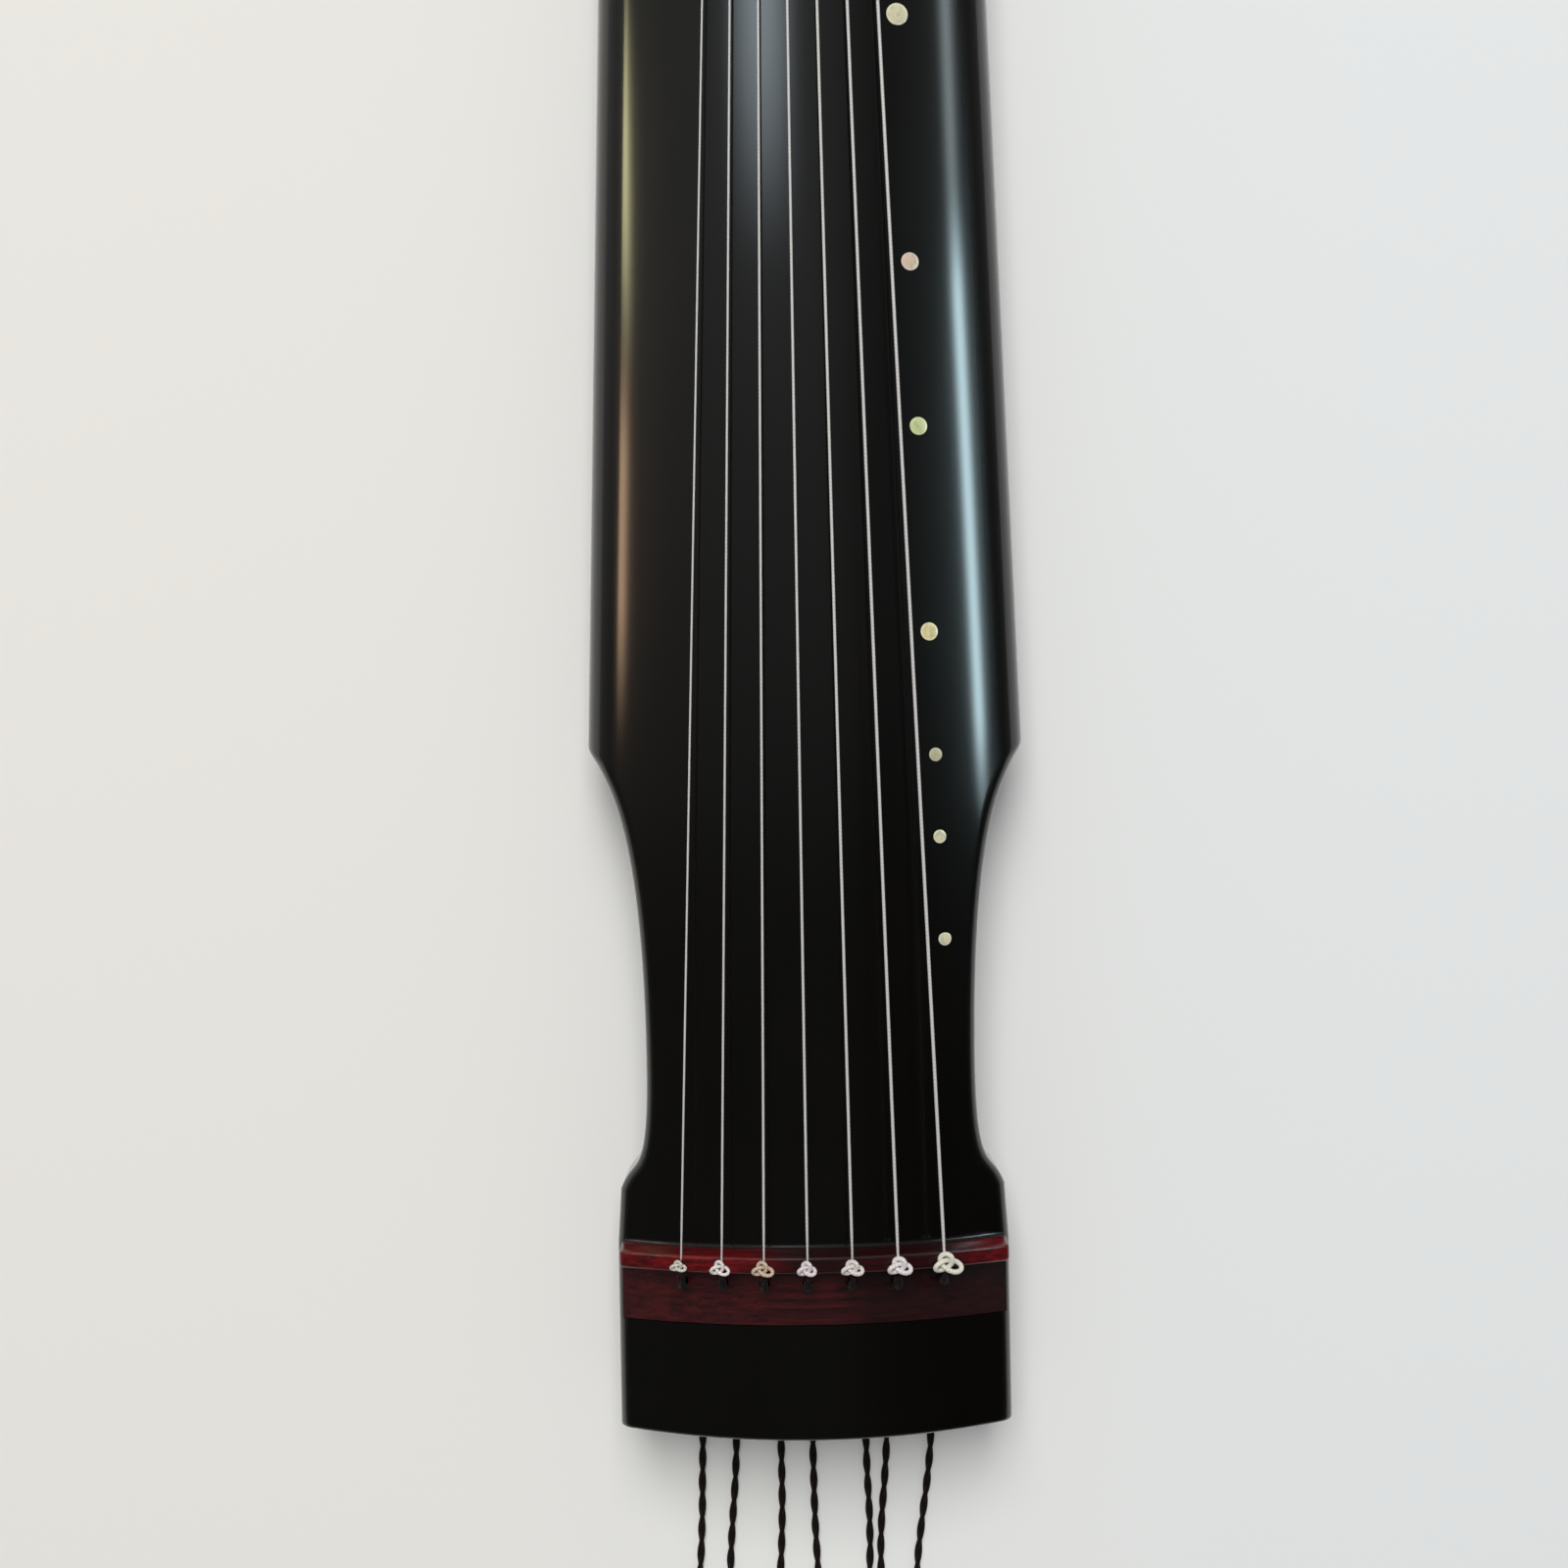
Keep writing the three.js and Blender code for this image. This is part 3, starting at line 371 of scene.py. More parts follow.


# Rosewood, planed and oiled: streaks along the grain and short dark pores, which are 0.2 mm wide on the
# real one and drawn at 0.6 mm so that they show; in some pieces a painted shade darkens it between two
# places along y, where less light falls on it
def oiled_rosewood(name, dark, middle, light, grain_axis, gloss, painted_shade=None):
    material, tree, shader, place = surface(name, Roughness=gloss, IOR=1.5, Coat_Weight=0.35,
                                            Coat_Roughness=0.15)
    streaks = [STREAK_LENGTH if axis == grain_axis else STREAK_WIDTH for axis in "xyz"]
    pores = [PORE_LENGTH if axis == grain_axis else PORE_WIDTH for axis in "xyz"]
    drift = add(tree, "ShaderNodeTexNoise", {"Vector": scaled(tree, place, [STREAK_DRIFT] * 3),
                "Scale": 1, "Detail": 2})
    bend = add(tree, "ShaderNodeVectorMath", {0: scaled(tree, place, streaks), 1: drift.outputs["Color"]},
               operation="ADD")
    streak = add(tree, "ShaderNodeTexNoise", {"Vector": bend.outputs["Vector"], "Scale": 1, "Detail": 5,
                 "Roughness": 0.62})
    tint = add(tree, "ShaderNodeValToRGB", {"Fac": streak.outputs["Fac"]},
               stops=[(0.32, dark), (0.5, middle), (0.7, light)])
    pitted = add(tree, "ShaderNodeTexNoise", {"Vector": scaled(tree, place, pores), "Scale": 1, "Detail": 1})
    pit = add(tree, "ShaderNodeMapRange", {"Value": pitted.outputs["Fac"], "From Min": 0.3, "From Max": 0.42})
    mixed = add(tree, "ShaderNodeMix", {"Factor": pit.outputs["Result"], "A_Color": colour(dark),
                "B_Color": tint.outputs["Color"]}, data_type="RGBA")
    wood = mixed.outputs[MIXED_COLOUR]
    # Painted shade: darker between two places along y, where less light falls on the wood
    if painted_shade:
        start, end, share = painted_shade
        across = add(tree, "ShaderNodeSeparateXYZ", {"Vector": place}).outputs["Y"]
        past_start = add(tree, "ShaderNodeMapRange", {"Value": across, "From Min": start - PAINTED_SHADE_EDGE,
                         "From Max": start, "To Max": share}, interpolation_type="SMOOTHSTEP")
        past_end = add(tree, "ShaderNodeMapRange", {"Value": across, "From Min": end,
                       "From Max": end + PAINTED_SHADE_EDGE, "To Min": 1, "To Max": 0},
                       interpolation_type="SMOOTHSTEP")
        core = add(tree, "ShaderNodeMath", {0: past_start.outputs["Result"], 1: past_end.outputs["Result"]},
                   operation="MULTIPLY")
        wood = add(tree, "ShaderNodeMix", {"Factor": core.outputs["Value"], "A_Color": wood,
                   "B_Color": colour(PAINTED_SHADE_COLOUR)}, data_type="RGBA").outputs[MIXED_COLOUR]
    tree.links.new(wood, shader.inputs["Base Color"])
    bumped(tree, shader, pit.outputs["Result"], PORE_DEPTH, 0.5)
    return material


# Pine, sawn and planed: pale, with darker year rings about 6 mm apart
def planed_pine():
    material, tree, shader, place = surface("pine_planed", Roughness=0.7, IOR=1.45)
    ring = add(tree, "ShaderNodeTexWave", {"Vector": scaled(tree, place, PINE_SIZE), "Scale": 0.2,
               "Distortion": 1.2, "Detail": 2}, bands_direction="X")
    tint = add(tree, "ShaderNodeValToRGB", {"Fac": ring.outputs["Fac"]},
               stops=[(0.2, "#a9824f"), (0.7, "#c6a272")])
    tree.links.new(tint.outputs["Color"], shader.inputs["Base Color"])
    bumped(tree, shader, ring.outputs["Fac"], 0.1 * MM, 0.4)
    return material


# Mother of pearl, cut and polished: satin layers that drift between a few pale tints, paler where the
# rim was ground thin and deeper round the middle; the UV map's X is the share of the stud's radius
def polished_shell(name, base, warm, cool):
    material, tree, shader, place = surface(name, Roughness=0.24, IOR=1.53, Coat_Weight=0.5,
                                            Coat_Roughness=0.08)
    layer = add(tree, "ShaderNodeTexNoise", {"Vector": scaled(tree, place, LAYER_SIZE), "Scale": 1,
                "Detail": 3, "Distortion": 1.1})
    tint = add(tree, "ShaderNodeValToRGB", {"Fac": layer.outputs["Fac"]},
               stops=[(0.33, cool), (0.5, base), (0.68, warm)])
    uv = add(tree, "ShaderNodeTexCoord").outputs["UV"]
    reach = add(tree, "ShaderNodeSeparateXYZ", {"Vector": uv}).outputs["X"]
    ground = add(tree, "ShaderNodeValToRGB", {"Fac": reach},
                 stops=[(0, "#a6a290"), (0.16, "#c8c5b2"), (0.4, "#bebebe"), (0.66, "#bebebe"),
                        (0.88, "#ececec")])
    shaded = add(tree, "ShaderNodeMix", {"Factor": SHELL_SHADE, "A_Color": tint.outputs["Color"],
                 "B_Color": ground.outputs["Color"]}, data_type="RGBA", blend_type="SOFT_LIGHT")
    tree.links.new(shaded.outputs[MIXED_COLOUR], shader.inputs["Base Color"])
    bumped(tree, shader, layer.outputs["Fac"], LAYER_DEPTH, 0.25)
    return material


# String of steel core and silk under a flat nylon winding, polished: silvery white, with fine rings
# along it, which are 0.3 mm wide on the real one and drawn at 1.2 mm so that they show
def wound_nylon(name, dark, light):
    material, tree, shader, _ = surface(name, Roughness=0.38, IOR=1.53, Metallic=0.12)
    uv = add(tree, "ShaderNodeTexCoord").outputs["UV"]
    spiral = add(tree, "ShaderNodeMapping", {"Vector": uv, "Scale": (1 / RING_WIDTH, 1, 1)})
    ring = add(tree, "ShaderNodeTexWave", {"Vector": spiral.outputs["Vector"], "Scale": WAVE_PER_UNIT,
               "Distortion": 0.2}, bands_direction="DIAGONAL")
    tint = add(tree, "ShaderNodeValToRGB", {"Fac": ring.outputs["Fac"]}, stops=[(0.1, dark), (0.8, light)])
    tree.links.new(tint.outputs["Color"], shader.inputs["Base Color"])
    bumped(tree, shader, ring.outputs["Fac"], RING_DEPTH, 0.15)
    return material


# Twisted black cord of spun fibre: matt, with fine slanting yarns in each ply; the yarns are 0.25 mm
# wide on the real one and drawn at about 0.5 mm so that they show
def twisted_cord(name):
    material, tree, shader, _ = surface(name, Roughness=0.85, Specular_IOR_Level=0.2, Sheen_Weight=0.05,
                                        Sheen_Roughness=0.45)
    uv = add(tree, "ShaderNodeTexCoord").outputs["UV"]
    yarns = add(tree, "ShaderNodeMapping", {"Vector": uv, "Scale": (1 / YARN_PITCH, YARNS_ROUND, 1)})
    yarn = add(tree, "ShaderNodeTexWave", {"Vector": yarns.outputs["Vector"], "Scale": WAVE_PER_UNIT,
               "Distortion": 0.6, "Detail": 1}, bands_direction="DIAGONAL")
    tint = add(tree, "ShaderNodeValToRGB", {"Fac": yarn.outputs["Fac"]},
               stops=[(0.15, "#0a0606"), (0.85, "#1d1313")])
    tree.links.new(tint.outputs["Color"], shader.inputs["Base Color"])
    bumped(tree, shader, yarn.outputs["Fac"], YARN_DEPTH, 0.7)
    return material


# Floor: matt painted board, pale, with painted light in its colour: a little warm to the near side and a
# little cool to the far side, where warm and cool light falls; away from the object the camera and the
# gloss see it as bright as the pale room behind it
def painted_floor():
    material, tree, shader, place = surface("matt_paint_floor", Roughness=0.95, Specular_IOR_Level=0.1)
    across = add(tree, "ShaderNodeSeparateXYZ", {"Vector": place}).outputs["Y"]
    side = add(tree, "ShaderNodeMapRange", {"Value": across, "From Min": -PAINTED_LIGHT_TINT_REACH,
               "From Max": PAINTED_LIGHT_TINT_REACH})
    # Painted light: warm towards the near side, cool towards the far side
    tint = add(tree, "ShaderNodeValToRGB", {"Fac": side.outputs["Result"]},
               stops=[(0.1, "#e8e7e3"), (0.9, "#e4e8ea")])
    tree.links.new(tint.outputs["Color"], shader.inputs["Base Color"])
    reach = add(tree, "ShaderNodeVectorMath", {0: place}, operation="LENGTH").outputs["Value"]
    away = add(tree, "ShaderNodeMapRange", {"Value": reach, "From Min": FLOOR_FADE_START,
               "From Max": FLOOR_FADE_END}, interpolation_type="SMOOTHSTEP").outputs["Result"]
    share = add(tree, "ShaderNodeMath", {0: away, 1: not_matt(tree)}, operation="MULTIPLY").outputs["Value"]
    glow = add(tree, "ShaderNodeEmission", {"Color": colour(ROOM_COLOUR), "Strength": ROOM_LIGHT})
    mixed = add(tree, "ShaderNodeMixShader", {0: share, 1: shader.outputs["BSDF"],
                2: glow.outputs["Emission"]})
    tree.links.new(mixed.outputs["Shader"], tree.nodes["Material Output"].inputs["Surface"])
    return material


# Shape of the body

def smoothstep(value, low, high):
    share = min(1, max(0, (value - low) / (high - low)))
    return share * share * (3 - 2 * share)


def taper_half(x):
    """Half width of the straight taper from the shoulder to the tail"""
    return SHOULDER_WIDTH / 2 + (x - SHOULDER_X) * TAPER_SHARE


def crown_height(x):
    """Height of the middle of the top"""
    near_bridge = smoothstep(x, BRIDGE_X - BRIDGE_DIP_LENGTH, BRIDGE_X)
    near_tail = 1 - smoothstep(x, TAIL_X, TAIL_X + TAIL_DIP_LENGTH)
    return STAND_HEIGHT + BODY_DEPTH - BRIDGE_DIP * near_bridge - TAIL_DIP * near_tail


def drop(radius, distance):
    """Height of a circle over its centre, at a distance from it"""
    return math.sqrt(max(0, radius * radius - distance * distance))


def arch_height(x, y, half):
    """Height of the top: a wide arc that rolls over to the taper lines, its edge rounded where the
    outline is cut inside them"""
    across = abs(y)
    taper = taper_half(x)
    sine = (taper - EDGE_RADIUS) / (ARCH_RADIUS - EDGE_RADIUS)
    roll_y = (ARCH_RADIUS - EDGE_RADIUS) * sine
    roll_z = crown_height(x) - ARCH_RADIUS + (ARCH_RADIUS - EDGE_RADIUS) * math.sqrt(1 - sine * sine)
    if across < ARCH_RADIUS * sine:
        height = crown_height(x) - ARCH_RADIUS + drop(ARCH_RADIUS, across)
    else:
        height = roll_z + drop(EDGE_RADIUS, across - roll_y)
    edge = min(EDGE_ROUND, taper - half)
    past = across - (half - edge)
    return height - edge + drop(edge, past) if past > 0 and edge > 0 else height


def top_at(x, y):
    return arch_height(x, y, taper_half(x))


def bow_at(x, y):
    """How far the bowed head end lies back towards its corners"""
    share = max(0, (x - STRIP_BACK_X) / (HEAD_X - STRIP_BACK_X))
    return HEAD_BOW * share * (2 * y / HEAD_WIDTH) ** 2


def bezier(corners, steps):
    """Points of a Bezier curve after its first"""
    made = []
    for step in range(1, steps + 1):
        level = [Vector(corner) for corner in corners]
        while len(level) > 1:
            level = [first.lerp(second, step / steps) for first, second in zip(level, level[1:])]
        made.append(level[0])
    return made


def waist_half(x):
    return taper_half(x) - WAIST_INSET


def between(start, end, shares):
    """Points that are some shares of the way along and across from one point to another"""
    return [Vector((start.x + along * (end.x - start.x), start.y + across * (end.y - start.y)))
            for along, across in shares]


def half_outline(steps):
    """Half width along the body from the tail to the head, as points of x and half width"""
    turn = WAIST_STEP * WAIST_TURN_SHARE
    low_x, high_x = WAIST_TAIL_X + WAIST_STEP, WAIST_HEAD_X - WAIST_STEP
    shoulder = Vector((SHOULDER_X, SHOULDER_WIDTH / 2))
    neck = Vector((NECK_X, NECK_WIDTH / 2))
    corner = Vector((HEAD_CORNER_X, HEAD_CORNER_WIDTH / 2))
    points = [Vector((x, taper_half(x))) for x in (TAIL_X, WAIST_TAIL_X)]
    points += bezier([points[-1], (WAIST_TAIL_X + turn, waist_half(WAIST_TAIL_X)),
                      (low_x, waist_half(low_x))], steps)
    points.append(Vector((high_x, waist_half(high_x))))
    points += bezier([points[-1], (WAIST_HEAD_X - turn, waist_half(WAIST_HEAD_X)),
                      (WAIST_HEAD_X, taper_half(WAIST_HEAD_X))], steps)
    points.append(shoulder)
    points += bezier([shoulder] + between(shoulder, neck, SHOULDER_CURVE) + [neck], 3 * steps)
    points += bezier([neck] + between(neck, corner, NECK_CURVE) + [corner], 2 * steps)
    return points + [Vector((x, HEAD_WIDTH / 2)) for x in (BRIDGE_X, STRIP_BACK_X, HEAD_X)]


def spaced(points, spacing):
    """The same line with no step longer than the spacing"""
    made = [points[0]]
    for last, point in zip(points, points[1:]):
        parts = math.ceil((point - last).length / spacing)
        made += [last.lerp(point, part / parts) for part in range(1, parts + 1)]
    return made


# Making meshes

def share_at(value, steps):
    """Row or column of a grid vertex, from its place in the unit grid"""
    return round((value + 0.5) * steps)


def grid(bm, along, across):
    bm.loops.layers.uv.verify()
    return bmesh.ops.create_grid(bm, x_segments=along, y_segments=across, size=0.5, calc_uvs=True)["verts"]


def slab(along, across, top, bottom):
    """A closed plate: top and bottom give the places of the points of its two grids"""
    bm = bmesh.new()
    lower = grid(bm, along, across)
    made = bmesh.ops.extrude_face_region(bm, geom=bm.faces[:])
    upper = [item for item in made["geom"] if isinstance(item, bmesh.types.BMVert)]
    for verts, place in ((lower, bottom), (upper, top)):
        for vert in verts:
            vert.co = place(share_at(vert.co.x, along), share_at(vert.co.y, across))
    bmesh.ops.recalc_face_normals(bm, faces=bm.faces)
    return bm


def wrap(bm, along, around, place, closed=False, length=1):
    """A tube from a grid rolled up: place gives its points, closed joins its two ends, and its UV map
    runs to the length along it"""
    verts = grid(bm, along, around)
    uv_map = bm.loops.layers.uv.active
    for face in {face for vert in verts for face in vert.link_faces}:
        for loop in face.loops:
            loop[uv_map].uv.x *= length
    for vert in verts:
        i, j = share_at(vert.co.x, along), share_at(vert.co.y, around)
        vert.co = place(i % along if closed else i, j % around)
    bmesh.ops.remove_doubles(bm, verts=verts, dist=1e-7)
    if not closed:
        rims = [edge for edge in bm.edges if edge.is_boundary]
        bmesh.ops.holes_fill(bm, edges=rims, sides=around)
    bmesh.ops.recalc_face_normals(bm, faces=bm.faces)


def revolve(profile, steps):
    """Turns a profile of radius and height about the upright axis"""
    bm = bmesh.new()
    verts = [bm.verts.new((radius, 0, height)) for radius, height in profile]
    edges = [bm.edges.new(pair) for pair in zip(verts, verts[1:])]
    bmesh.ops.spin(bm, geom=verts + edges, axis=(0, 0, 1), cent=(0, 0, 0), angle=2 * math.pi, steps=steps,
                   use_merge=True)
    bmesh.ops.remove_doubles(bm, verts=bm.verts, dist=1e-6)
    bmesh.ops.recalc_face_normals(bm, faces=bm.faces)
    return bm


def prism(*levels):
    """A closed shape through flat outlines, each given as a height and its points, from the lowest up"""
    bm = bmesh.new()
    low, outline = levels[0]
    face = bm.faces.new([bm.verts.new((x, y, low)) for x, y in outline])
    for step, (height, outline) in enumerate(levels[1:]):
        made = bmesh.ops.extrude_face_region(bm, geom=[face])["geom"]
        if step > 0 and face.is_valid:
            bmesh.ops.delete(bm, geom=[face], context="FACES_ONLY")
        face = next(item for item in made if isinstance(item, bmesh.types.BMFace))
        for vert, (x, y) in zip(face.verts, outline):
            vert.co = (x, y, height)
    bmesh.ops.recalc_face_normals(bm, faces=bm.faces)
    return bm


def rounded_off(bm, width, angle=50, steps=3):
    """Rounds every edge sharper than the angle"""
    sharp = [edge for edge in bm.edges if len(edge.link_faces) == 2
             and edge.calc_face_angle(0) > math.radians(angle)]
    bmesh.ops.bevel(bm, geom=sharp, offset=width, offset_type="OFFSET", affect="EDGES", segments=steps,
                    profile=0.5, material=-1, clamp_overlap=True)
    return bm


def to_object(name, bm):
    mesh = bpy.data.meshes.new(name)
    bm.to_mesh(mesh)
    bm.free()
    made = bpy.data.objects.new(name, mesh)
    bpy.context.scene.collection.objects.link(made)
    return made


def cut(body, cutters):
    """Cuts closed shapes out of a piece, removes them and welds the corners that the cuts left apart"""
    tools = [to_object("cutter", bm) for bm in cutters]
    for tool in tools:
        modifier = body.modifiers.new("cut", "BOOLEAN")
        modifier.operation, modifier.solver, modifier.object = "DIFFERENCE", "EXACT", tool
    bpy.context.view_layer.update()
    mesh = bpy.data.meshes.new_from_object(body.evaluated_get(bpy.context.evaluated_depsgraph_get()))
    body.modifiers.clear()
    body.data = mesh
    for tool in tools:
        bpy.data.objects.remove(tool)
    bm = bmesh.new()
    bm.from_mesh(mesh)
    bmesh.ops.remove_doubles(bm, verts=bm.verts, dist=1e-6)
    bm.to_mesh(mesh)
    bm.free()
    return body


def finish_piece(piece, material, body="root", stands_for=(), crease=35, weighted=False):
    """Shades a piece, gives it its material, and fixes it to a body of the CAD"""
    piece.data.shade_smooth()
    piece.data.set_sharp_from_angle(angle=math.radians(crease))
    if weighted:
        piece.modifiers.new("flat faces", "WEIGHTED_NORMAL").keep_sharp = True
    piece.data.materials.clear()
    piece.data.materials.append(material)
    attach(piece, body)
    if stands_for:
        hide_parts(*stands_for)
    return piece


def moved(bm, x=0, y=0, z=0, turn=None):
    if turn:
        bmesh.ops.transform(bm, matrix=turn, verts=bm.verts)
    bmesh.ops.translate(bm, vec=(x, y, z), verts=bm.verts)
    return bm


def arc(center, radius, start, end, steps):
    """Points of an arc in a plane, angles in degrees"""
    angles = [math.radians(start + (end - start) * step / steps) for step in range(steps + 1)]
    return [(center[0] + radius * math.cos(a), center[1] + radius * math.sin(a)) for a in angles]


# Lines in space

CURVE_STEPS = 12
ROUNDED_END = (0.35, 0.8)


def smooth_line(points, spacing):
    """A curve through the points, at an even spacing"""
    rough = []
    ends = [points[0] * 2 - points[1]] + points + [points[-1] * 2 - points[-2]]
    for a, b, c, d in zip(ends, ends[1:], ends[2:], ends[3:]):
        for step in range(CURVE_STEPS):
            t = step / CURVE_STEPS
            rough.append(0.5 * (2 * b + (c - a) * t + (2 * a - 5 * b + 4 * c - d) * t * t
                                + (3 * b - a - 3 * c + d) * t ** 3))
    rough.append(points[-1])
    return evened(rough, spacing)


def line_length(points):
    return sum((b - a).length for a, b in zip(points, points[1:]))


def evened(points, spacing):
    """Points an even distance apart along the same line"""
    count = max(2, round(line_length(points) / spacing))
    step = line_length(points) / count
    made, index, left = [points[0].copy()], 0, step
    place = points[0].copy()
    while len(made) < count and index + 1 < len(points):
        run = (points[index + 1] - place).length
        if run >= left:
            place = place.lerp(points[index + 1], left / run)
            made.append(place.copy())
            left = step
        else:
            left -= run
            index += 1
            place = points[index].copy()
    return made + [points[-1].copy()]


def frames_along(points, up=Vector((0, 0, 1))):
    """Two directions square to the line at each point, carried along it without twisting"""
    made, side = [], None
    last = len(points) - 1
    for index in range(len(points)):
        ahead = points[min(index + 1, last)] - points[max(index - 1, 0)]
        ahead.normalize()
        if side is None:
            side = ahead.cross(up if abs(ahead.dot(up)) < 0.9 else Vector((0, 1, 0)))
        side = (side - ahead * side.dot(ahead)).normalized()
        made.append((side.copy(), ahead.cross(side)))
    return made


def tube(bm, points, radius, sides, rounded=True, end_radius=None):
    """A round tube along a line, which may taper to another radius at its end"""
    sides_of = frames_along(points)
    last = len(points) - 1
    taper = 0 if end_radius is None else end_radius - radius

    def place(i, j):
        near = min(i, last - i)
        shrink = ROUNDED_END[near] if rounded and near < len(ROUNDED_END) else 1
        side, lift = sides_of[i]
        angle = 2 * math.pi * j / sides
        reach = (radius + taper * i / last) * shrink
        return points[i] + (side * math.cos(angle) + lift * math.sin(angle)) * reach

    wrap(bm, last, sides, place, length=line_length(points))


def twisted(bm, points, start_turn=0):
    """Two plies that wind round each other along a line"""
    step = line_length(points) / (len(points) - 1)
    sides_of = frames_along(points)
    for ply in (0, 1):
        line = []
        for index, point in enumerate(points):
            angle = 2 * math.pi * (index * step / TWIST_PITCH + ply / 2) + start_turn
            side, lift = sides_of[index]
            line.append(point + (side * math.cos(angle) + lift * math.sin(angle)) * PLY_OFFSET)
        tube(bm, line, PLY_RADIUS, CORD_SIDES)


# Places of the strings

def string_width(number):
    return THICKEST_STRING - STRING_THINNING * (number - 1)


def string_at_bridge(number):
    place = len(STRINGS) - number
    return LAST_AT_BRIDGE + BRIDGE_PITCH * place + BRIDGE_PITCH_GROWTH * place * (place - 1) / 2


def string_at_tail(number):
    return LAST_AT_TAIL + TAIL_PITCH * (len(STRINGS) - number)


def bridge_top_at(y):
    return top_at(BRIDGE_X, y) + BRIDGE_HEIGHT


def nut_top():
    return crown_height(NUT_FRONT_X) + NUT_RISE


def winding(center, radius, start_angle, turn, turns, start_z, pitch, steps):
    """Points that go round an upright axis and come down a pitch a turn"""
    count = round(turns * steps)
    angles = [start_angle + turn * 2 * math.pi * step / steps for step in range(count + 1)]
    return [Vector((center[0] + radius * math.cos(angle), center[1] + radius * math.sin(angle),
                    start_z - pitch * step / steps)) for step, angle in enumerate(angles)]


# Tuning cord tails: free cords that start round the necks of the pegs, pass under the head and end in a
# knot. The places are those of the CAD, in metres

TAIL_LEAVES = [-1, -1, 1, 1, 1, 1, 1]
TAIL_PLACES = [
    (0.545, 0.0236), (0.552, 0.0221), (0.559, 0.018), (0.5655, 0.0125), (0.5725, 0.0068), (0.582, 0.003),
    (0.597, 0.0019), (0.615, 0.0019), (0.636, 0.0019), (0.655, 0.0019), (0.675, 0.0019), (0.697, 0.0019),
    (0.72, 0.0019), (0.743, 0.0019),
]
TAIL_ACROSS = [
    [0.0512, 0.0513, 0.0517, 0.0523, 0.0531, 0.054, 0.0552, 0.056, 0.0562, 0.0544, 0.0515, 0.0488,
     0.0482, 0.0501],
    [0.0301, 0.0301, 0.0303, 0.0308, 0.0316, 0.0326, 0.0338, 0.0346, 0.0346, 0.0334, 0.0316, 0.0308,
     0.0318, 0.0344],
    [0.0227, 0.0228, 0.023, 0.0233, 0.0236, 0.0239, 0.0242, 0.0244, 0.0245, 0.0249, 0.0256, 0.0254,
     0.0236, 0.0206],
    [0.0034, 0.0033, 0.0029, 0.0023, 0.0015, 0.0006, -0.0004, -0.0012, -0.0015, -0.0014, -0.0011,
     -0.0002, 0.0012, 0.0024],
    [-0.0157, -0.0158, -0.016, -0.0164, -0.0167, -0.017, -0.0172, -0.0172, -0.0171, -0.017, -0.0172,
     -0.0182, -0.02, -0.0216],
    [-0.0346, -0.0347, -0.0351, -0.0356, -0.0363, -0.037, -0.0379, -0.0386, -0.0389, -0.0398, -0.0414,
     -0.0428, -0.0426, -0.0404],
    [-0.0527, -0.0528, -0.0531, -0.0535, -0.054, -0.0544, -0.0549, -0.0552, -0.0554, -0.0559, -0.0564,
     -0.0576, -0.06, -0.0632],
]
TAIL_ENDS = [(0.768, 0.0534), (0.781, 0.0376), (0.76, 0.0179), (0.786, 0.0022), (0.771, -0.022),
             (0.765, -0.0371), (0.779, -0.0663)]
CORD_STEP = 1.1 * MM
CORD_SIDES = 10
FRINGE_LENGTH = 11 * MM
FRINGE_STRANDS = 14
STRAND_ROOT = 0.36 * MM
STRAND_TIP = 0.16 * MM
STRAND_START = 0.7 * MM
STRAND_BELLY = 0.6 * MM
STRAND_LOWEST = 0.35 * MM
STRAND_STEP = 1.8 * MM
END_KNOT_HALF = 2.9 * MM
END_KNOT_HEIGHT = 2.3 * MM
END_KNOT_REACH = 3.6
END_KNOT_RISE = 0.62
END_KNOT_PLY = 0.92
END_KNOT_STEPS = 54


def trefoil(turn):
    """A knot of three lobes, one of them towards -x, with its strands passing over and under"""
    return Vector((math.cos(turn) - 2 * math.cos(2 * turn), math.sin(turn) + 2 * math.sin(2 * turn),
                   -math.sin(3 * turn)))


def end_knot(bm, at, heading):
    """The overhand knot near a cord's end and the fringe of loose yarns beyond it"""
    side = Vector((-heading.y, heading.x, 0))
    size = END_KNOT_HALF / END_KNOT_REACH
    line = []
    for step in range(END_KNOT_STEPS):
        bend = trefoil(2 * math.pi * step / END_KNOT_STEPS)
        lift = Vector((0, 0, bend.z * PLY_RADIUS * END_KNOT_RISE))
        line.append(at + heading * bend.x * size + side * bend.y * size + lift)
    ring_tube(bm, line, PLY_RADIUS * END_KNOT_PLY, 8)
    for strand in range(FRINGE_STRANDS):
        around = 2 * math.pi * strand / FRINGE_STRANDS
        spread = (0.55 + 0.45 * math.sin(5.1 * strand)) * CORD_WIDTH / 2
        out = side * math.cos(around) + Vector((0, 0, 0.8 * math.sin(around)))
        start = at + out * STRAND_START + heading * END_KNOT_HALF * 0.5
        end = start + heading * FRINGE_LENGTH * (0.8 + 0.2 * math.cos(3.7 * strand)) + out * spread
        middle = start.lerp(end, 0.5) + out * STRAND_BELLY
        for point in (middle, end):
            point.z = max(point.z, STRAND_LOWEST)
        tube(bm, smooth_line([start, middle, end], STRAND_STEP), STRAND_ROOT, 5, end_radius=STRAND_TIP)


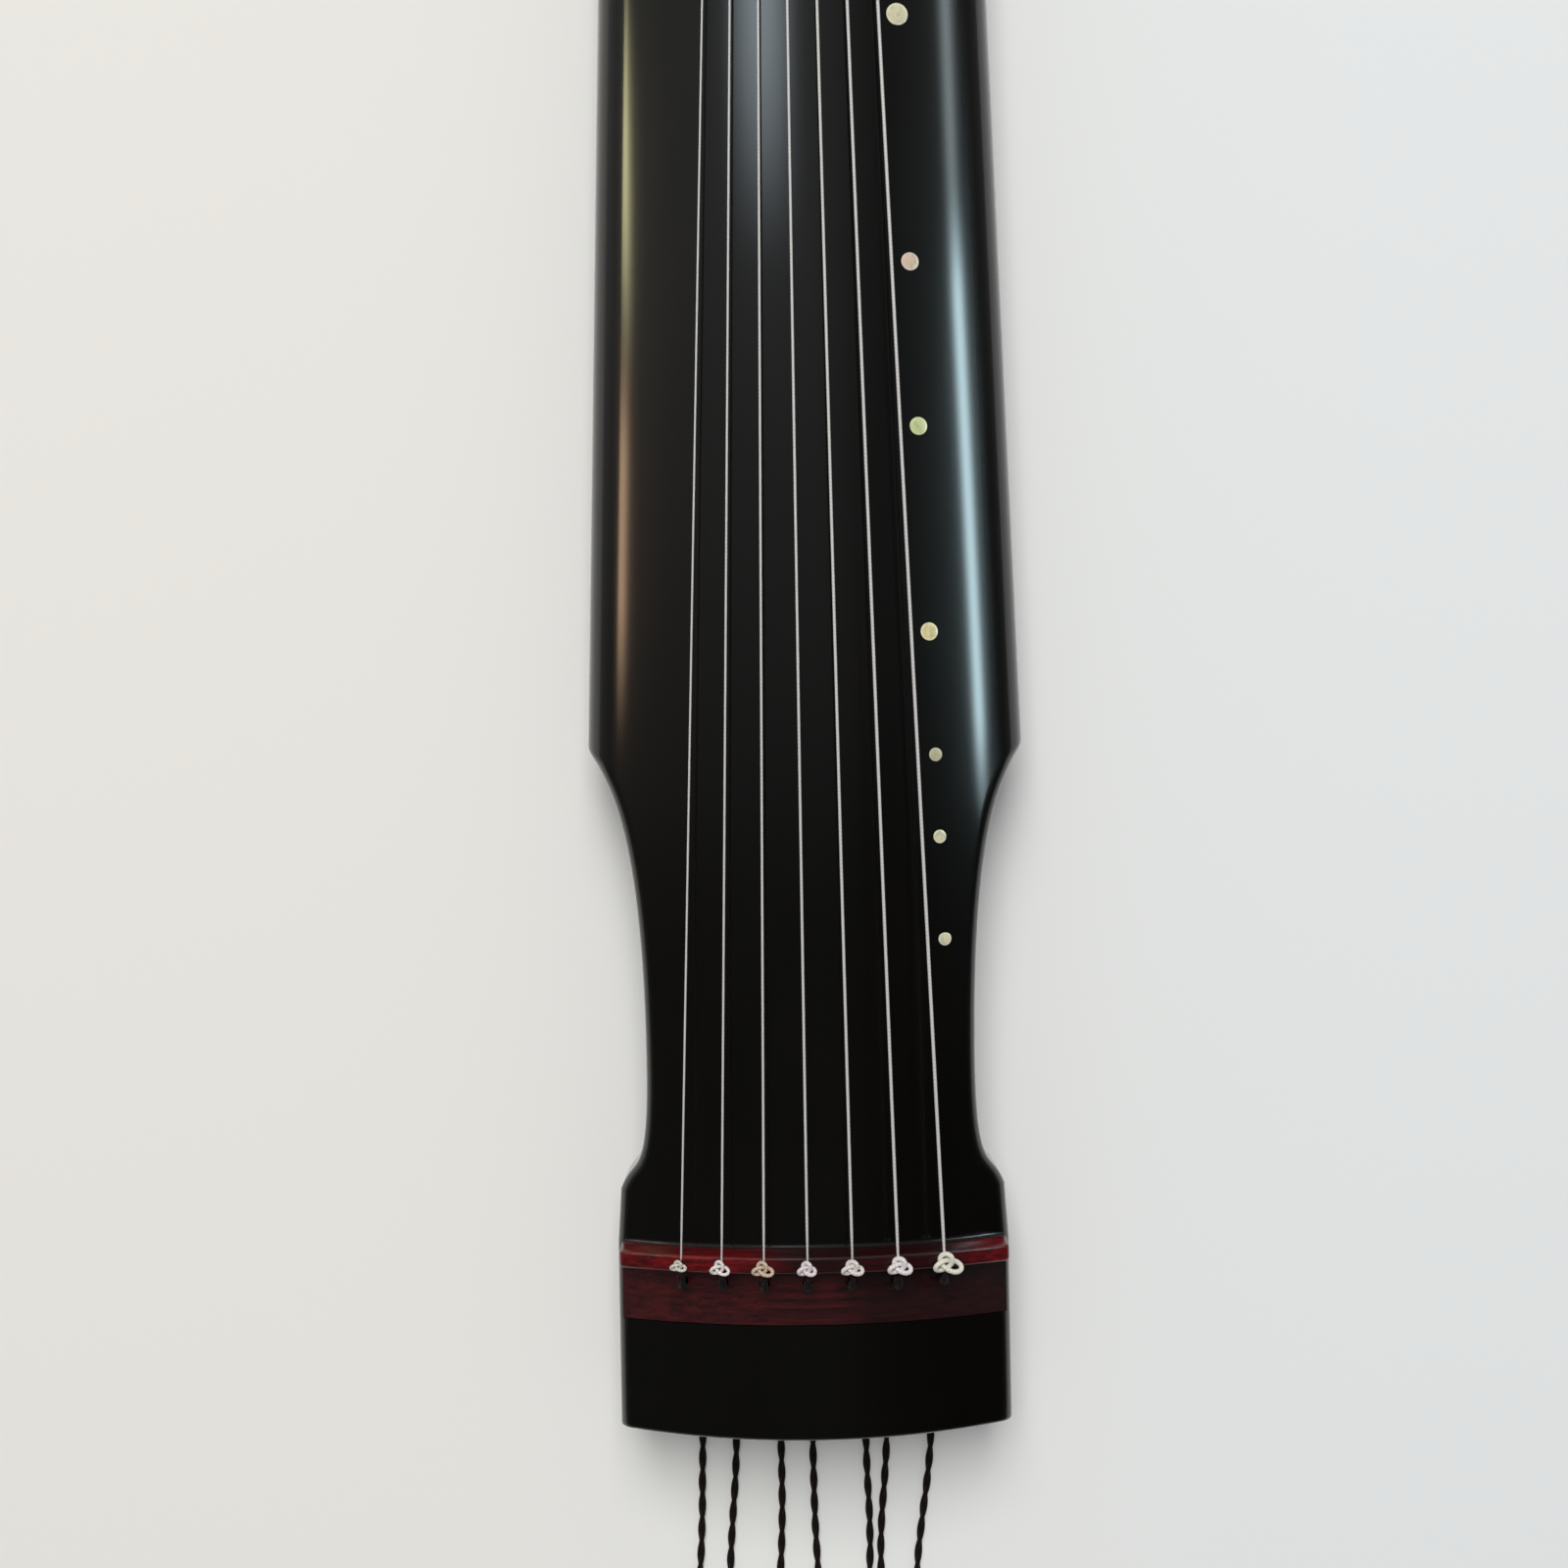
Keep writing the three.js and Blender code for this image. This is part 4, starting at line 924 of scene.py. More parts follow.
def ring_tube(bm, line, radius, sides):
    """A tube along a closed line"""
    count = len(line)
    ahead = [(line[(i + 1) % count] - line[i - 1]).normalized() for i in range(count)]
    side = ahead[0].cross(Vector((0, 0, 1))).normalized()
    frames = []
    for direction in ahead:
        side = (side - direction * side.dot(direction)).normalized()
        frames.append((side.copy(), direction.cross(side)))
    back = (side - ahead[0] * side.dot(ahead[0])).normalized()
    slip = math.atan2(back.dot(frames[0][1]), back.dot(frames[0][0]))

    def place(i, j):
        angle = 2 * math.pi * j / sides - slip * i / count
        across, lift = frames[i]
        return line[i] + (across * math.cos(angle) + lift * math.sin(angle)) * radius

    wrap(bm, count, sides, place, closed=True, length=line_length(line + [line[0]]))


def peg_levels():
    """Heights between which a peg's neck is, with the windings of the cord"""
    neck_top = PEG_TOP - PEG_COLLAR
    neck_bottom = neck_top - (CORD_TURNS + 1) * (CORD_WIDTH + WINDING_GAP) - WINDING_GAP
    return neck_top, neck_bottom


def cord_tail(number):
    side = TAIL_LEAVES[number - 1]
    neck_top, _ = peg_levels()
    radius = PEG_NECK_WIDTH / 2 + WINDING_GAP + CORD_WIDTH / 2
    turns = winding((PEG_X, string_at_bridge(number)), radius, side * math.pi * (0.5 + 2 * CORD_TURNS), -side,
                    CORD_TURNS, neck_top - WINDING_GAP - CORD_WIDTH / 2, CORD_WIDTH + WINDING_GAP, 24)
    run = [Vector((x, y, z)) for (x, z), y in zip(TAIL_PLACES, TAIL_ACROSS[number - 1])]
    end_x, end_y = TAIL_ENDS[number - 1]
    end = Vector((end_x, end_y, TAIL_PLACES[-1][1]))
    line = smooth_line(turns + run + [end], CORD_STEP)
    heading = (line[-1] - line[-4]).normalized()
    knot_at = end - heading * (FRINGE_LENGTH + END_KNOT_HALF)
    knot_at.z = END_KNOT_HEIGHT
    kept = [point for point in line if (point - end).length > FRINGE_LENGTH + END_KNOT_HALF * 1.3]
    bm = bmesh.new()
    twisted(bm, kept, start_turn=number)
    end_knot(bm, knot_at, heading)
    piece = to_object(f"twisted_cord_tail_{number}", bm)
    finish_piece(piece, CORD, stands_for=[f"cord_tail_{number}"], crease=60)
    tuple(line[0])
    round(line_length(line), 3)


def upper_cord(number):
    """The part of a tuning cord from the knot on the bridge down through the strip into its peg"""
    y = string_at_bridge(number)
    start_x = BRIDGE_X + KNOT_FROM_FRONT + knot_size(number) + SEAT_GAP
    radius = PEG_X - start_x
    start_z = bridge_top_at(y) + SEAT_GAP + CORD_WIDTH / 2
    bend = [Vector((x, y, z)) for x, z in arc((start_x, start_z - radius), radius, 90, 0, 8)]
    line = evened(bend + [Vector((PEG_X, y, PEG_TOP - CORD_INTO_PEG))], CORD_STEP)
    bm = bmesh.new()
    twisted(bm, line, start_turn=1.3 * number)
    finish_piece(to_object(f"twisted_cord_{number}", bm), CORD,
                 stands_for=[f"tuning_cord_{number}"], crease=60)


# Strings and their knots

def knot_size(number):
    return LARGEST_LOBE - LOBE_SHRINK * (number - 1)


def foot_side(number):
    return 1 if number <= 4 else -1


def foot_winding(number, start):
    side = foot_side(number)
    center = Vector((FOOT_X, side * FOOT_ACROSS))
    radius = FOOT_NECK_WIDTH / 2 + REST_GAP + string_width(number) / 2
    away = Vector((start.x, start.y)) - center
    start_angle = math.atan2(away.y, away.x) + side * math.acos(radius / away.length)
    above = [other for other in STRINGS if other < number and foot_side(other) == side]
    used = sum((FOOT_TURNS + 1) * (string_width(other) + WINDING_GAP) for other in above)
    top = STAND_HEIGHT - SEAT_GAP - FOOT_COLLAR - WINDING_GAP - string_width(number) / 2 - used
    return winding(center, radius, start_angle, side, FOOT_TURNS, top, string_width(number) + WINDING_GAP, 32)


def string_line(number):
    off = REST_GAP + string_width(number) / 2
    bridge_y, tail_y = string_at_bridge(number), string_at_tail(number)
    bridge_z = bridge_top_at(bridge_y) + off
    start = BRIDGE_X + KNOT_FROM_FRONT - 0.8 * knot_size(number) + string_width(number) / 2
    over = arc((TAIL_X + NUT_ROUND, nut_top() - NUT_ROUND), NUT_ROUND + off, 90, 180, 8)
    under = arc((TAIL_X + SUPPORT_ROUND, STAND_HEIGHT + SUPPORT_ROUND), SUPPORT_ROUND + off, 180, 270, 6)
    line = [Vector((start, bridge_y, bridge_z)), Vector((BRIDGE_X + BRIDGE_FRONT_ROUND, bridge_y, bridge_z)),
            Vector((NUT_FRONT_X, tail_y, nut_top() + off))]
    line += [Vector((x, tail_y, z)) for x, z in over + under]
    turns = foot_winding(number, line[-1])
    return spaced(line + turns, 14 * MM)


def knot_line(number):
    """The centre line of the fly-head knot: three lobes that lie on the bridge, one drawn out"""
    along, across = KNOT_SIZES[number - 1]
    width = string_width(number)
    radius = width * KNOT_STRAND_SHARE
    long_size, cross_size = (along - 2 * radius) / TREFOIL_LENGTH, (across - 2 * radius) / TREFOIL_WIDTH
    line = []
    for step in range(KNOT_STEPS):
        point = trefoil(2 * math.pi * step / KNOT_STEPS)
        reach = math.hypot(point.x, point.y) / TREFOIL_REACH
        towards = max(0, math.cos(math.atan2(point.y, point.x) - OPEN_LOBE_TURN)) ** 2 * reach
        point.xy *= 1 + KNOT_OPEN[number - 1] * towards
        line.append(Vector(((point.x + TREFOIL_SHIFT) * long_size, point.y * cross_size,
                            (point.z + 1) * radius * 0.95 + radius)))
    return line


def string_piece(number):
    width = string_width(number)
    line = string_line(number)
    bm = bmesh.new()
    tube(bm, line, width / 2, 12)
    finish_piece(to_object(f"wound_string_{number}", bm), STRING,
                 stands_for=[f"string_{number}"], crease=80)
    y = string_at_bridge(number)
    tilt = Matrix.Rotation(-math.asin(y / ARCH_RADIUS), 4, "X")
    bm = bmesh.new()
    ring_tube(bm, knot_line(number), width * KNOT_STRAND_SHARE, 12)
    moved(bm, BRIDGE_X + KNOT_FROM_FRONT, y + KNOT_BESIDE[number - 1], bridge_top_at(y), tilt)
    finish_piece(to_object(f"fly_head_knot_{number}", bm), KNOTS[number - 1], crease=80)


# Soundboard

def pad_ceiling(x, y, ceiling):
    """The ceiling of the chamber with the raised pads over the sound holes"""
    for hole in (LONG_HOLE, SHORT_HOLE):
        radius = hole["width"] / 2 + PAD_MARGIN
        core = hole["length"] / 2 + PAD_MARGIN - radius
        outside = math.hypot(max(abs(x - hole["x"]) - core, 0), y) - radius
        level = crown_height(hole["x"]) - PLATE_THICKNESS - PAD_DEPTH
        share = 1 - smoothstep(outside, -PAD_EDGE, 0)
        ceiling += (min(ceiling, level) - ceiling) * share
    return ceiling


def chamber():
    outline = [point for point in half_outline(4) if CHAMBER_TAIL_X < point.x < CHAMBER_HEAD_X]
    ends = [Vector((CHAMBER_TAIL_X, taper_half(CHAMBER_TAIL_X))), Vector((CHAMBER_HEAD_X, outline[-1].y))]
    stations = spaced([ends[0]] + outline + [ends[1]], 7 * MM)
    across = 44

    def place(i, j):
        x, half = stations[i].x, stations[i].y - WALL_THICKNESS
        y = half * math.sin((2 * j / across - 1) * math.pi / 2)
        return x, y, pad_ceiling(x, y, arch_height(x, y, half) - PLATE_THICKNESS)

    def floor(i, j):
        x, y, _ = place(i, j)
        return x, y, BOTTOM_TOP - OVERRUN

    return slab(len(stations) - 1, across, place, floor)


def column(x, y, radius, low, high, sides=32):
    bm = bmesh.new()
    bmesh.ops.create_cone(bm, cap_ends=True, segments=sides, radius1=radius, radius2=radius, depth=high - low)
    return moved(bm, x, y, (low + high) / 2)


def brick(low, high):
    bm = bmesh.new()
    bmesh.ops.create_cube(bm, size=1)
    size = Vector(high) - Vector(low)
    bmesh.ops.scale(bm, vec=size, verts=bm.verts)
    return moved(bm, *((Vector(low) + Vector(high)) / 2))


def string_holes(low, high):
    return [column(PEG_X, string_at_bridge(number), STRING_HOLE_RADIUS, low, high) for number in STRINGS]


def strip_bed(across):
    """The cutter for the bed of the string hole strip, whose floor is straight along the body"""
    half = BRIDGE_HALF + SEAT_GAP
    start, end = STRIP_FRONT_X - SEAT_GAP, STRIP_BACK_X + SEAT_GAP

    def roof(i, j):
        return start + i * (end - start) / 2, half * (2 * j / across - 1), HIGHEST

    def bed(i, j):
        x, y, _ = roof(i, j)
        return x, y, top_at(STRIP_BACK_X, y) - STRIP_THICKNESS

    return slab(2, across, roof, bed)


def tail_notch(low):
    """The cutter for the place of the tail nut and its support"""
    half = NUT_WIDTH / 2 + SEAT_GAP
    return brick((TAIL_X - OVERRUN, -half, low), (NUT_FRONT_X + SEAT_GAP, half, HIGHEST))


def end_drop(x):
    """How far the top falls where its ends are rounded"""
    past = max(x - (HEAD_X - END_ROUND), TAIL_X + END_ROUND - x, 0)
    return END_ROUND - drop(END_ROUND, past)


def body_stations(spacing):
    """Points of x and half width along the body, closer together where its ends are rounded"""
    stations = spaced(half_outline(10), spacing)
    reaches = [END_ROUND * (1 - math.sin(math.pi / 2 * step / 5)) for step in (4, 3, 2, 1, 0)]
    tail = [Vector((TAIL_X + reach, taper_half(TAIL_X + reach))) for reach in reaches]
    head = [Vector((HEAD_X - reach, HEAD_WIDTH / 2)) for reach in reversed(reaches)]
    inner = [point for point in stations if TAIL_X + END_ROUND < point.x < HEAD_X - END_ROUND]
    return [stations[0]] + tail + inner + head + [stations[-1]]


def soundboard():
    stations = body_stations(12 * MM)
    across = 72

    def place(i, j):
        x, half = stations[i]
        y = half * math.sin((2 * j / across - 1) * math.pi / 2)
        return x - bow_at(x, y), y, arch_height(x, y, half) - end_drop(x)

    def base(i, j):
        x, y, _ = place(i, j)
        return x, y, TOP_BASE

    board = to_object("arched_soundboard", slab(len(stations) - 1, across, place, base))
    cut(board, [chamber(), strip_bed(across), tail_notch(STAND_HEIGHT)] + string_holes(STAND_HEIGHT, HIGHEST))
    finish_piece(board, LACQUER, stands_for=["soundboard"], crease=32)


# Bottom board

def slot_outline(hole):
    """The outline of a sound hole, as a function of how much it has grown"""
    x = hole["x"]
    reach = hole["length"] / 2 - hole["width"] / 2

    def outline(grow):
        radius = hole["width"] / 2 + grow
        return arc((x + reach, 0), radius, -90, 90, 16) + arc((x - reach, 0), radius, 90, 270, 16)
    return outline


def pool_outline(grow):
    """The outline of the peg pool, grown by a width"""
    low_y, high_y = string_at_bridge(7) - POOL_MARGIN, string_at_bridge(1) + POOL_MARGIN
    round_off = POOL_MARGIN / 3
    reach = POOL_LENGTH / 2 - round_off
    corners = [(PEG_X + reach, low_y + round_off, -90), (PEG_X + reach, high_y - round_off, 0),
               (PEG_X - reach, high_y - round_off, 90), (PEG_X - reach, low_y + round_off, 180)]
    return [point for x, y, start in corners for point in arc((x, y), round_off + grow, start, start + 90, 6)]


def flared(outline):
    """A cutter that widens where it meets the underside, so that the rim comes out round"""
    levels = [(STAND_HEIGHT - OVERRUN, outline(HOLE_ROUND))]
    for step in range(6):
        turn = math.pi / 2 * step / 5
        levels.append((STAND_HEIGHT + HOLE_ROUND * (1 - math.cos(turn)),
                       outline(HOLE_ROUND * (1 - math.sin(turn)))))
    return prism(*levels, (BOTTOM_TOP + OVERRUN, outline(0)))


def bottom_board():
    stations = spaced(half_outline(10), 24 * MM)
    across = 12

    def at(height):
        def place(i, j):
            x, half = stations[i]
            y = half * (2 * j / across - 1)
            return x - bow_at(x, y), y, height
        return place

    bm = slab(len(stations) - 1, across, at(BOTTOM_TOP), at(STAND_HEIGHT))
    rim = [edge for edge in bm.edges if all(abs(vert.co.z - STAND_HEIGHT) < SEAT_GAP for vert in edge.verts)
           and edge.calc_face_angle(0) > 1]
    bmesh.ops.bevel(bm, geom=rim, offset=RIM_ROUND, offset_type="OFFSET", affect="EDGES", segments=4,
                    profile=0.5, material=-1)
    board = to_object("flat_bottom_board", bm)
    mortise = TENON_WIDTH / 2 + SEAT_GAP
    cutters = [flared(slot_outline(LONG_HOLE)), flared(slot_outline(SHORT_HOLE)), flared(pool_outline),
               tail_notch(STAND_HEIGHT - OVERRUN)]
    cutters += [column(FOOT_X, side * FOOT_ACROSS, mortise, STAND_HEIGHT - OVERRUN, BOTTOM_TOP + OVERRUN)
                for side in (-1, 1)]
    finish_piece(cut(board, cutters), LACQUER, stands_for=["bottom_board"], crease=32,
                 weighted=True)


# Fittings of the head

def bridge_profile():
    """Across the bridge, as points of x behind its front edge and height over the top"""
    front, back = BRIDGE_FRONT_ROUND, BRIDGE_BACK_ROUND
    profile = [(-BRIDGE_BATTER, -BRIDGE_SINK), (-0.5 * BRIDGE_BATTER, BRIDGE_HEIGHT / 2)]
    profile += arc((front - 0.1 * MM, BRIDGE_HEIGHT - front), front, 172, 90, 6)
    profile += arc((BRIDGE_TOP_WIDTH + 0.2 * MM - back, BRIDGE_HEIGHT - back), back, 90, 4, 7)
    return profile + [(BRIDGE_TOP_WIDTH + BRIDGE_BATTER / 2, -BRIDGE_SINK)]


def bridge():
    profile = bridge_profile()
    around = len(profile)
    steps = 72
    middle = Vector((BRIDGE_TOP_WIDTH / 2, BRIDGE_HEIGHT / 2))

    def place(i, j):
        share = 2 * i / steps - 1
        y = BRIDGE_HALF * math.sin(share * math.pi / 2)
        past = max(0, abs(y) - (BRIDGE_HALF - BRIDGE_END_ROUND))
        shrink = BRIDGE_END_ROUND - drop(BRIDGE_END_ROUND, past)
        point = Vector(profile[j])
        point -= (point - middle).normalized() * shrink
        return BRIDGE_X + point.x, y, top_at(BRIDGE_X, y) + point.y

    bm = bmesh.new()
    wrap(bm, steps, around, place)
    finish_piece(to_object("bridge_bar", bm), BRIDGE_WOOD, stands_for=["bridge"])


def lacquer_cove():
    """The small concave fillet of lacquer between the top and the front of the bridge"""
    steps = 60
    front = -BRIDGE_BATTER * 0.8 - COVE
    profile = arc((front, COVE), COVE, -90, 0, 6) + [(0, COVE), (0, -BRIDGE_SINK), (front, -BRIDGE_SINK)]

    def place(i, j):
        y = (BRIDGE_HALF - COVE_END) * (2 * i / steps - 1)
        along, rise = profile[j]
        return BRIDGE_X + along, y, top_at(BRIDGE_X, y) + rise + SKIN

    bm = bmesh.new()
    wrap(bm, steps, len(profile), place)
    finish_piece(to_object("lacquer_cove", bm), LACQUER)


def strip():
    along, across = 6, 64

    def at(level):
        def place(i, j):
            x = STRIP_FRONT_X + (STRIP_BACK_X - STRIP_FRONT_X) * i / along
            y = BRIDGE_HALF * (2 * j / across - 1)
            return x, y, top_at(x, y) + STRIP_RISE - level
        return place

    bm = rounded_off(slab(along, across, at(0), at(STRIP_THICKNESS)), STRIP_EDGE, steps=2)
    piece = cut(to_object("hole_strip", bm), string_holes(BOTTOM_TOP, HIGHEST))
    finish_piece(piece, STRIP_WOOD, stands_for=["string_hole_strip"], weighted=True)


def guard(name, side):
    from_x, to_x = PEG_X - GUARD_LENGTH / 2, PEG_X + GUARD_LENGTH / 2
    top = STAND_HEIGHT - SEAT_GAP
    profile = [(from_x, top)] + bezier([(from_x, top), (from_x, 0), (from_x + 2 * GUARD_ROUND, 0)], 12)
    profile += arc((to_x - GUARD_ROUND, GUARD_ROUND), GUARD_ROUND, -90, 0, 10) + [(to_x, top)]
    bm = prism((-GUARD_THICKNESS / 2, profile), (GUARD_THICKNESS / 2, profile))
    rounded_off(bm, GUARD_EDGE)
    moved(bm, 0, side * GUARD_ACROSS, 0, Matrix.Rotation(math.pi / 2, 4, "X"))
    finish_piece(to_object(f"{name}_guard", bm), FITTING_WOOD,
                 stands_for=[f"{name}_peg_guard"], weighted=True)


def peg(number):
    neck_top, neck_bottom = peg_levels()
    bottom, wide, neck = PEG_GROUND_GAP, PEG_WIDTH / 2, PEG_NECK_WIDTH / 2
    collar_edge = PEG_COLLAR_WIDTH / 2 - PEG_EDGE
    foot_edge = wide - 1.6 * PEG_FLARE
    foot_top = (wide - 0.2 * PEG_FLARE, bottom + 1.4 * PEG_FLARE)
    shoulder = (wide - PEG_FLARE / 2, neck_bottom - PEG_FLARE)
    bore_bottom = PEG_TOP - PEG_BORE_DEPTH
    profile = [(0, bottom), (foot_edge, bottom)]
    profile += bezier([(foot_edge, bottom), (foot_top[0], bottom), foot_top], 6)
    profile += bezier([foot_top, (wide, bottom + 3 * PEG_FLARE),
                       (PEG_WAIST_WIDTH / 2 - 0.6 * MM, (bottom + neck_bottom) / 2 + 1 * MM), shoulder], 14)
    profile += bezier([shoulder, (wide - PEG_FLARE / 3, neck_bottom - 0.2 * PEG_FLARE),
                       (neck, neck_bottom)], 6)
    profile += [(neck, neck_top - PEG_CHAMFER), (neck + PEG_CHAMFER, neck_top), (collar_edge, neck_top)]
    profile += arc((collar_edge, neck_top + PEG_EDGE), PEG_EDGE, -60, 0, 3)
    profile += arc((collar_edge, PEG_TOP - PEG_EDGE), PEG_EDGE, 0, 90, 4)
    profile += [(STRING_HOLE_RADIUS + PEG_CHAMFER, PEG_TOP), (STRING_HOLE_RADIUS, PEG_TOP - PEG_CHAMFER),
                (STRING_HOLE_RADIUS, bore_bottom), (0, bore_bottom)]
    bm = revolve(profile, 64)
    for vert in bm.verts:
        if math.hypot(vert.co.x, vert.co.y) > neck:
            fade = smoothstep(vert.co.z, bottom, bottom + PEG_FLARE)
            fade *= 1 - smoothstep(vert.co.z, neck_bottom - 2 * PEG_FLARE, neck_bottom)
            flute = 1 + math.cos(PEG_FLUTES * math.atan2(vert.co.y, vert.co.x))
            vert.co.xy *= 1 - PEG_FLUTE_SHARE * fade * flute
    moved(bm, PEG_X, string_at_bridge(number), 0)
    finish_piece(to_object(f"turned_peg_{number}", bm), PEG_WOOD, body=f"peg_{number}",
                 stands_for=[f"tuning_peg_{number}"], crease=50)


# Studs: thin discs, very slightly domed

STUD_DOME = 0.16 * MM
STUD_EDGE = 0.3 * MM
STUD_DEPTH = 1 * MM
STUD_RISE = 0.05 * MM


def stud(number):
    node = f"stud_{number}"
    low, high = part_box(node)
    x, y = (low.x + high.x) / 2, (low.y + high.y) / 2
    radius = (high.x - low.x) / 2
    profile = [(radius * share, STUD_RISE + STUD_DOME * (1 - share ** 2)) for share in (0, 0.25, 0.5, 0.75)]
    profile += [(radius - STUD_EDGE, STUD_RISE + STUD_DOME * 0.12),
                (radius - STUD_EDGE * 0.3, STUD_RISE - 0.02 * MM), (radius, STUD_RISE - 0.18 * MM),
                (radius, -STUD_DEPTH), (0, -STUD_DEPTH)]
    bm = revolve(profile, 56)
    reach = bm.loops.layers.uv.verify()
    for face in bm.faces:
        for loop in face.loops:
            loop[reach].uv = (math.hypot(loop.vert.co.x, loop.vert.co.y) / radius, 0)
    moved(bm, x, y, top_at(x, y), Matrix.Rotation(-math.asin(y / ARCH_RADIUS), 4, "X"))
    finish_piece(to_object(f"shell_{node}", bm), SHELLS.get(number, SHELL),
                 stands_for=[node], crease=50)


# Feet and the fittings of the tail

def foot(name, side):
    top = STAND_HEIGHT - SEAT_GAP
    collar = top - FOOT_COLLAR
    neck, tenon, soft = FOOT_NECK_WIDTH / 2, TENON_WIDTH / 2, FOOT_EDGE
    edge = FOOT_WIDTH / 2 - soft
    profile = [(0, 0), (edge, 0)] + arc((edge, soft), soft, -60, 0, 3)
    profile += arc((edge, FOOT_BASE - soft), soft, 0, 60, 3)
    profile += bezier([(edge, FOOT_BASE), (neck + 0.4 * MM, FOOT_BASE + 0.3 * MM),
                       (neck, FOOT_BASE + FOOT_FLARE)], 5)
    profile += [(neck, collar - 0.4 * MM), (neck + 0.5 * MM, collar), (edge, collar)]
    profile += arc((edge, collar + soft), soft, -60, 0, 3) + arc((edge, top - soft), soft, 0, 90, 4)
    profile += [(tenon, top), (tenon, top + TENON_LENGTH), (0, top + TENON_LENGTH)]
    bm = moved(revolve(profile, 56), FOOT_X, side * FOOT_ACROSS, 0)
    finish_piece(to_object(f"{name}_turned_foot", bm), FITTING_WOOD,
                 stands_for=[f"{name}_foot"], crease=50)


def across_tail(name, profile, node, grooved):
    """A bar across the tail, with or without the grooves of the strings"""
    bm = prism((-NUT_WIDTH / 2, profile), (NUT_WIDTH / 2, profile))
    rounded_off(bm, NUT_EDGE)
    moved(bm, turn=Matrix.Rotation(math.pi / 2, 4, "X"))
    piece = to_object(name, bm)
    if grooved:
        cut(piece, [groove(number) for number in STRINGS])
    finish_piece(piece, FITTING_WOOD, stands_for=[node], weighted=True)


def groove(number):
    """The shallow groove that a string has worn over the nut"""
    line = [point for point in string_line(number)
            if point.x < NUT_FRONT_X + GROOVE_REACH and point.z > STAND_HEIGHT + NUT_DEPTH]
    bm = bmesh.new()
    tube(bm, line, string_width(number) / 2 + GROOVE_GAP, 12, rounded=False)
    return bm


def tail_nut():
    low = STAND_HEIGHT + NUT_DEPTH
    high = nut_top()
    profile = [(NUT_FRONT_X, low), (NUT_FRONT_X, high)]
    profile += arc((TAIL_X + NUT_ROUND, high - NUT_ROUND), NUT_ROUND, 90, 180, 12) + [(TAIL_X, low)]
    across_tail("grooved_tail_nut", profile, "tail_nut", True)


def tail_nut_support():
    high = STAND_HEIGHT + NUT_DEPTH - SEAT_GAP
    profile = [(NUT_FRONT_X, high), (TAIL_X, high)]
    profile += arc((TAIL_X + SUPPORT_ROUND, STAND_HEIGHT + SUPPORT_ROUND), SUPPORT_ROUND, 180, 270, 8)
    profile += [(NUT_FRONT_X, STAND_HEIGHT)]
    across_tail("nut_support", profile, "tail_nut_support", False)


def corner_half(x):
    return taper_half(x) - CORNER_INSET


def tail_corner(name, side):
    inner = NUT_WIDTH / 2 + SEAT_GAP
    tip = corner_half(CORNER_FRONT_X)
    line = [Vector((TAIL_X, inner)), Vector((NUT_FRONT_X, inner))]
    line += bezier([line[-1], ((NUT_FRONT_X + CORNER_FRONT_X) / 2, inner),
                    (NUT_FRONT_X, tip - CORNER_TIP_WIDTH), (CORNER_FRONT_X, tip - CORNER_TIP_WIDTH / 3)], 24)
    line = spaced(line, 3 * MM)
    across = 12

    def at(rise):
        def place(i, j):
            x, low = line[i]
            y = low + (corner_half(x) - low) * j / across
            return x, side * y, top_at(x, y) + rise
        return place

    bm = slab(len(line) - 1, across, at(CORNER_RISE), at(SKIN))
    rounded_off(bm, CORNER_EDGE, angle=55)
    finish_piece(to_object(f"{name}_corner_plate", bm), FITTING_WOOD,
                 stands_for=[f"{name}_tail_corner"], weighted=True)


# Assembly

LACQUER = rubbed_lacquer()
# The last values of the bridge and the strip place their painted shade along y, and set how dark it gets
BRIDGE_WOOD = oiled_rosewood("bridge_rosewood_oiled", "#2a0405", "#58070b", "#7c0c12", "y", 0.3,
                             (-6 * MM, 56 * MM, 0.84))
STRIP_WOOD = oiled_rosewood("strip_rosewood_oiled", "#1c0607", "#370d10", "#481214", "y", 0.4,
                            (30 * MM, 110 * MM, 0.66))
FITTING_WOOD = oiled_rosewood("fitting_rosewood_oiled", "#200b0b", "#3f1514", "#5a211b", "x", 0.38)
PEG_WOOD = oiled_rosewood("peg_rosewood_turned", "#240c0b", "#451614", "#60241c", "z", 0.32)
PINE = planed_pine()
SHELL = polished_shell("mother_of_pearl_cream", "#cbc8a8", "#d3cba8", "#b0b29e")
SHELLS = {
    3: polished_shell("mother_of_pearl_grey", "#a9a886", "#b7b193", "#8f9280"),
    4: polished_shell("mother_of_pearl_yellow", "#d0c792", "#d8cda4", "#b9ae82"),
    5: polished_shell("mother_of_pearl_green", "#bfca8e", "#c6c59e", "#9db082"),
    6: polished_shell("mother_of_pearl_rose", "#cbb8a2", "#d6b9ae", "#b3a694"),
}
STRING = wound_nylon("string_wound_nylon", "#c6c4c2", "#d2d0ce")
KNOT_TINTS = [("#d5d2c6", "#e2e0d4"), ("#d6cfd0", "#e8e2e2"), ("#cfc8c3", "#e0dad6"), ("#d0c4c8", "#e4d9dc"),
              ("#b9a491", "#cdb9a4"), ("#d2ccca", "#e6e1df"), ("#bdb9ae", "#d2cec3")]
KNOTS = [wound_nylon(f"knot_wound_nylon_{number}", dark, light)
         for number, (dark, light) in zip(STRINGS, KNOT_TINTS)]
CORD = twisted_cord("black_cord_twisted")

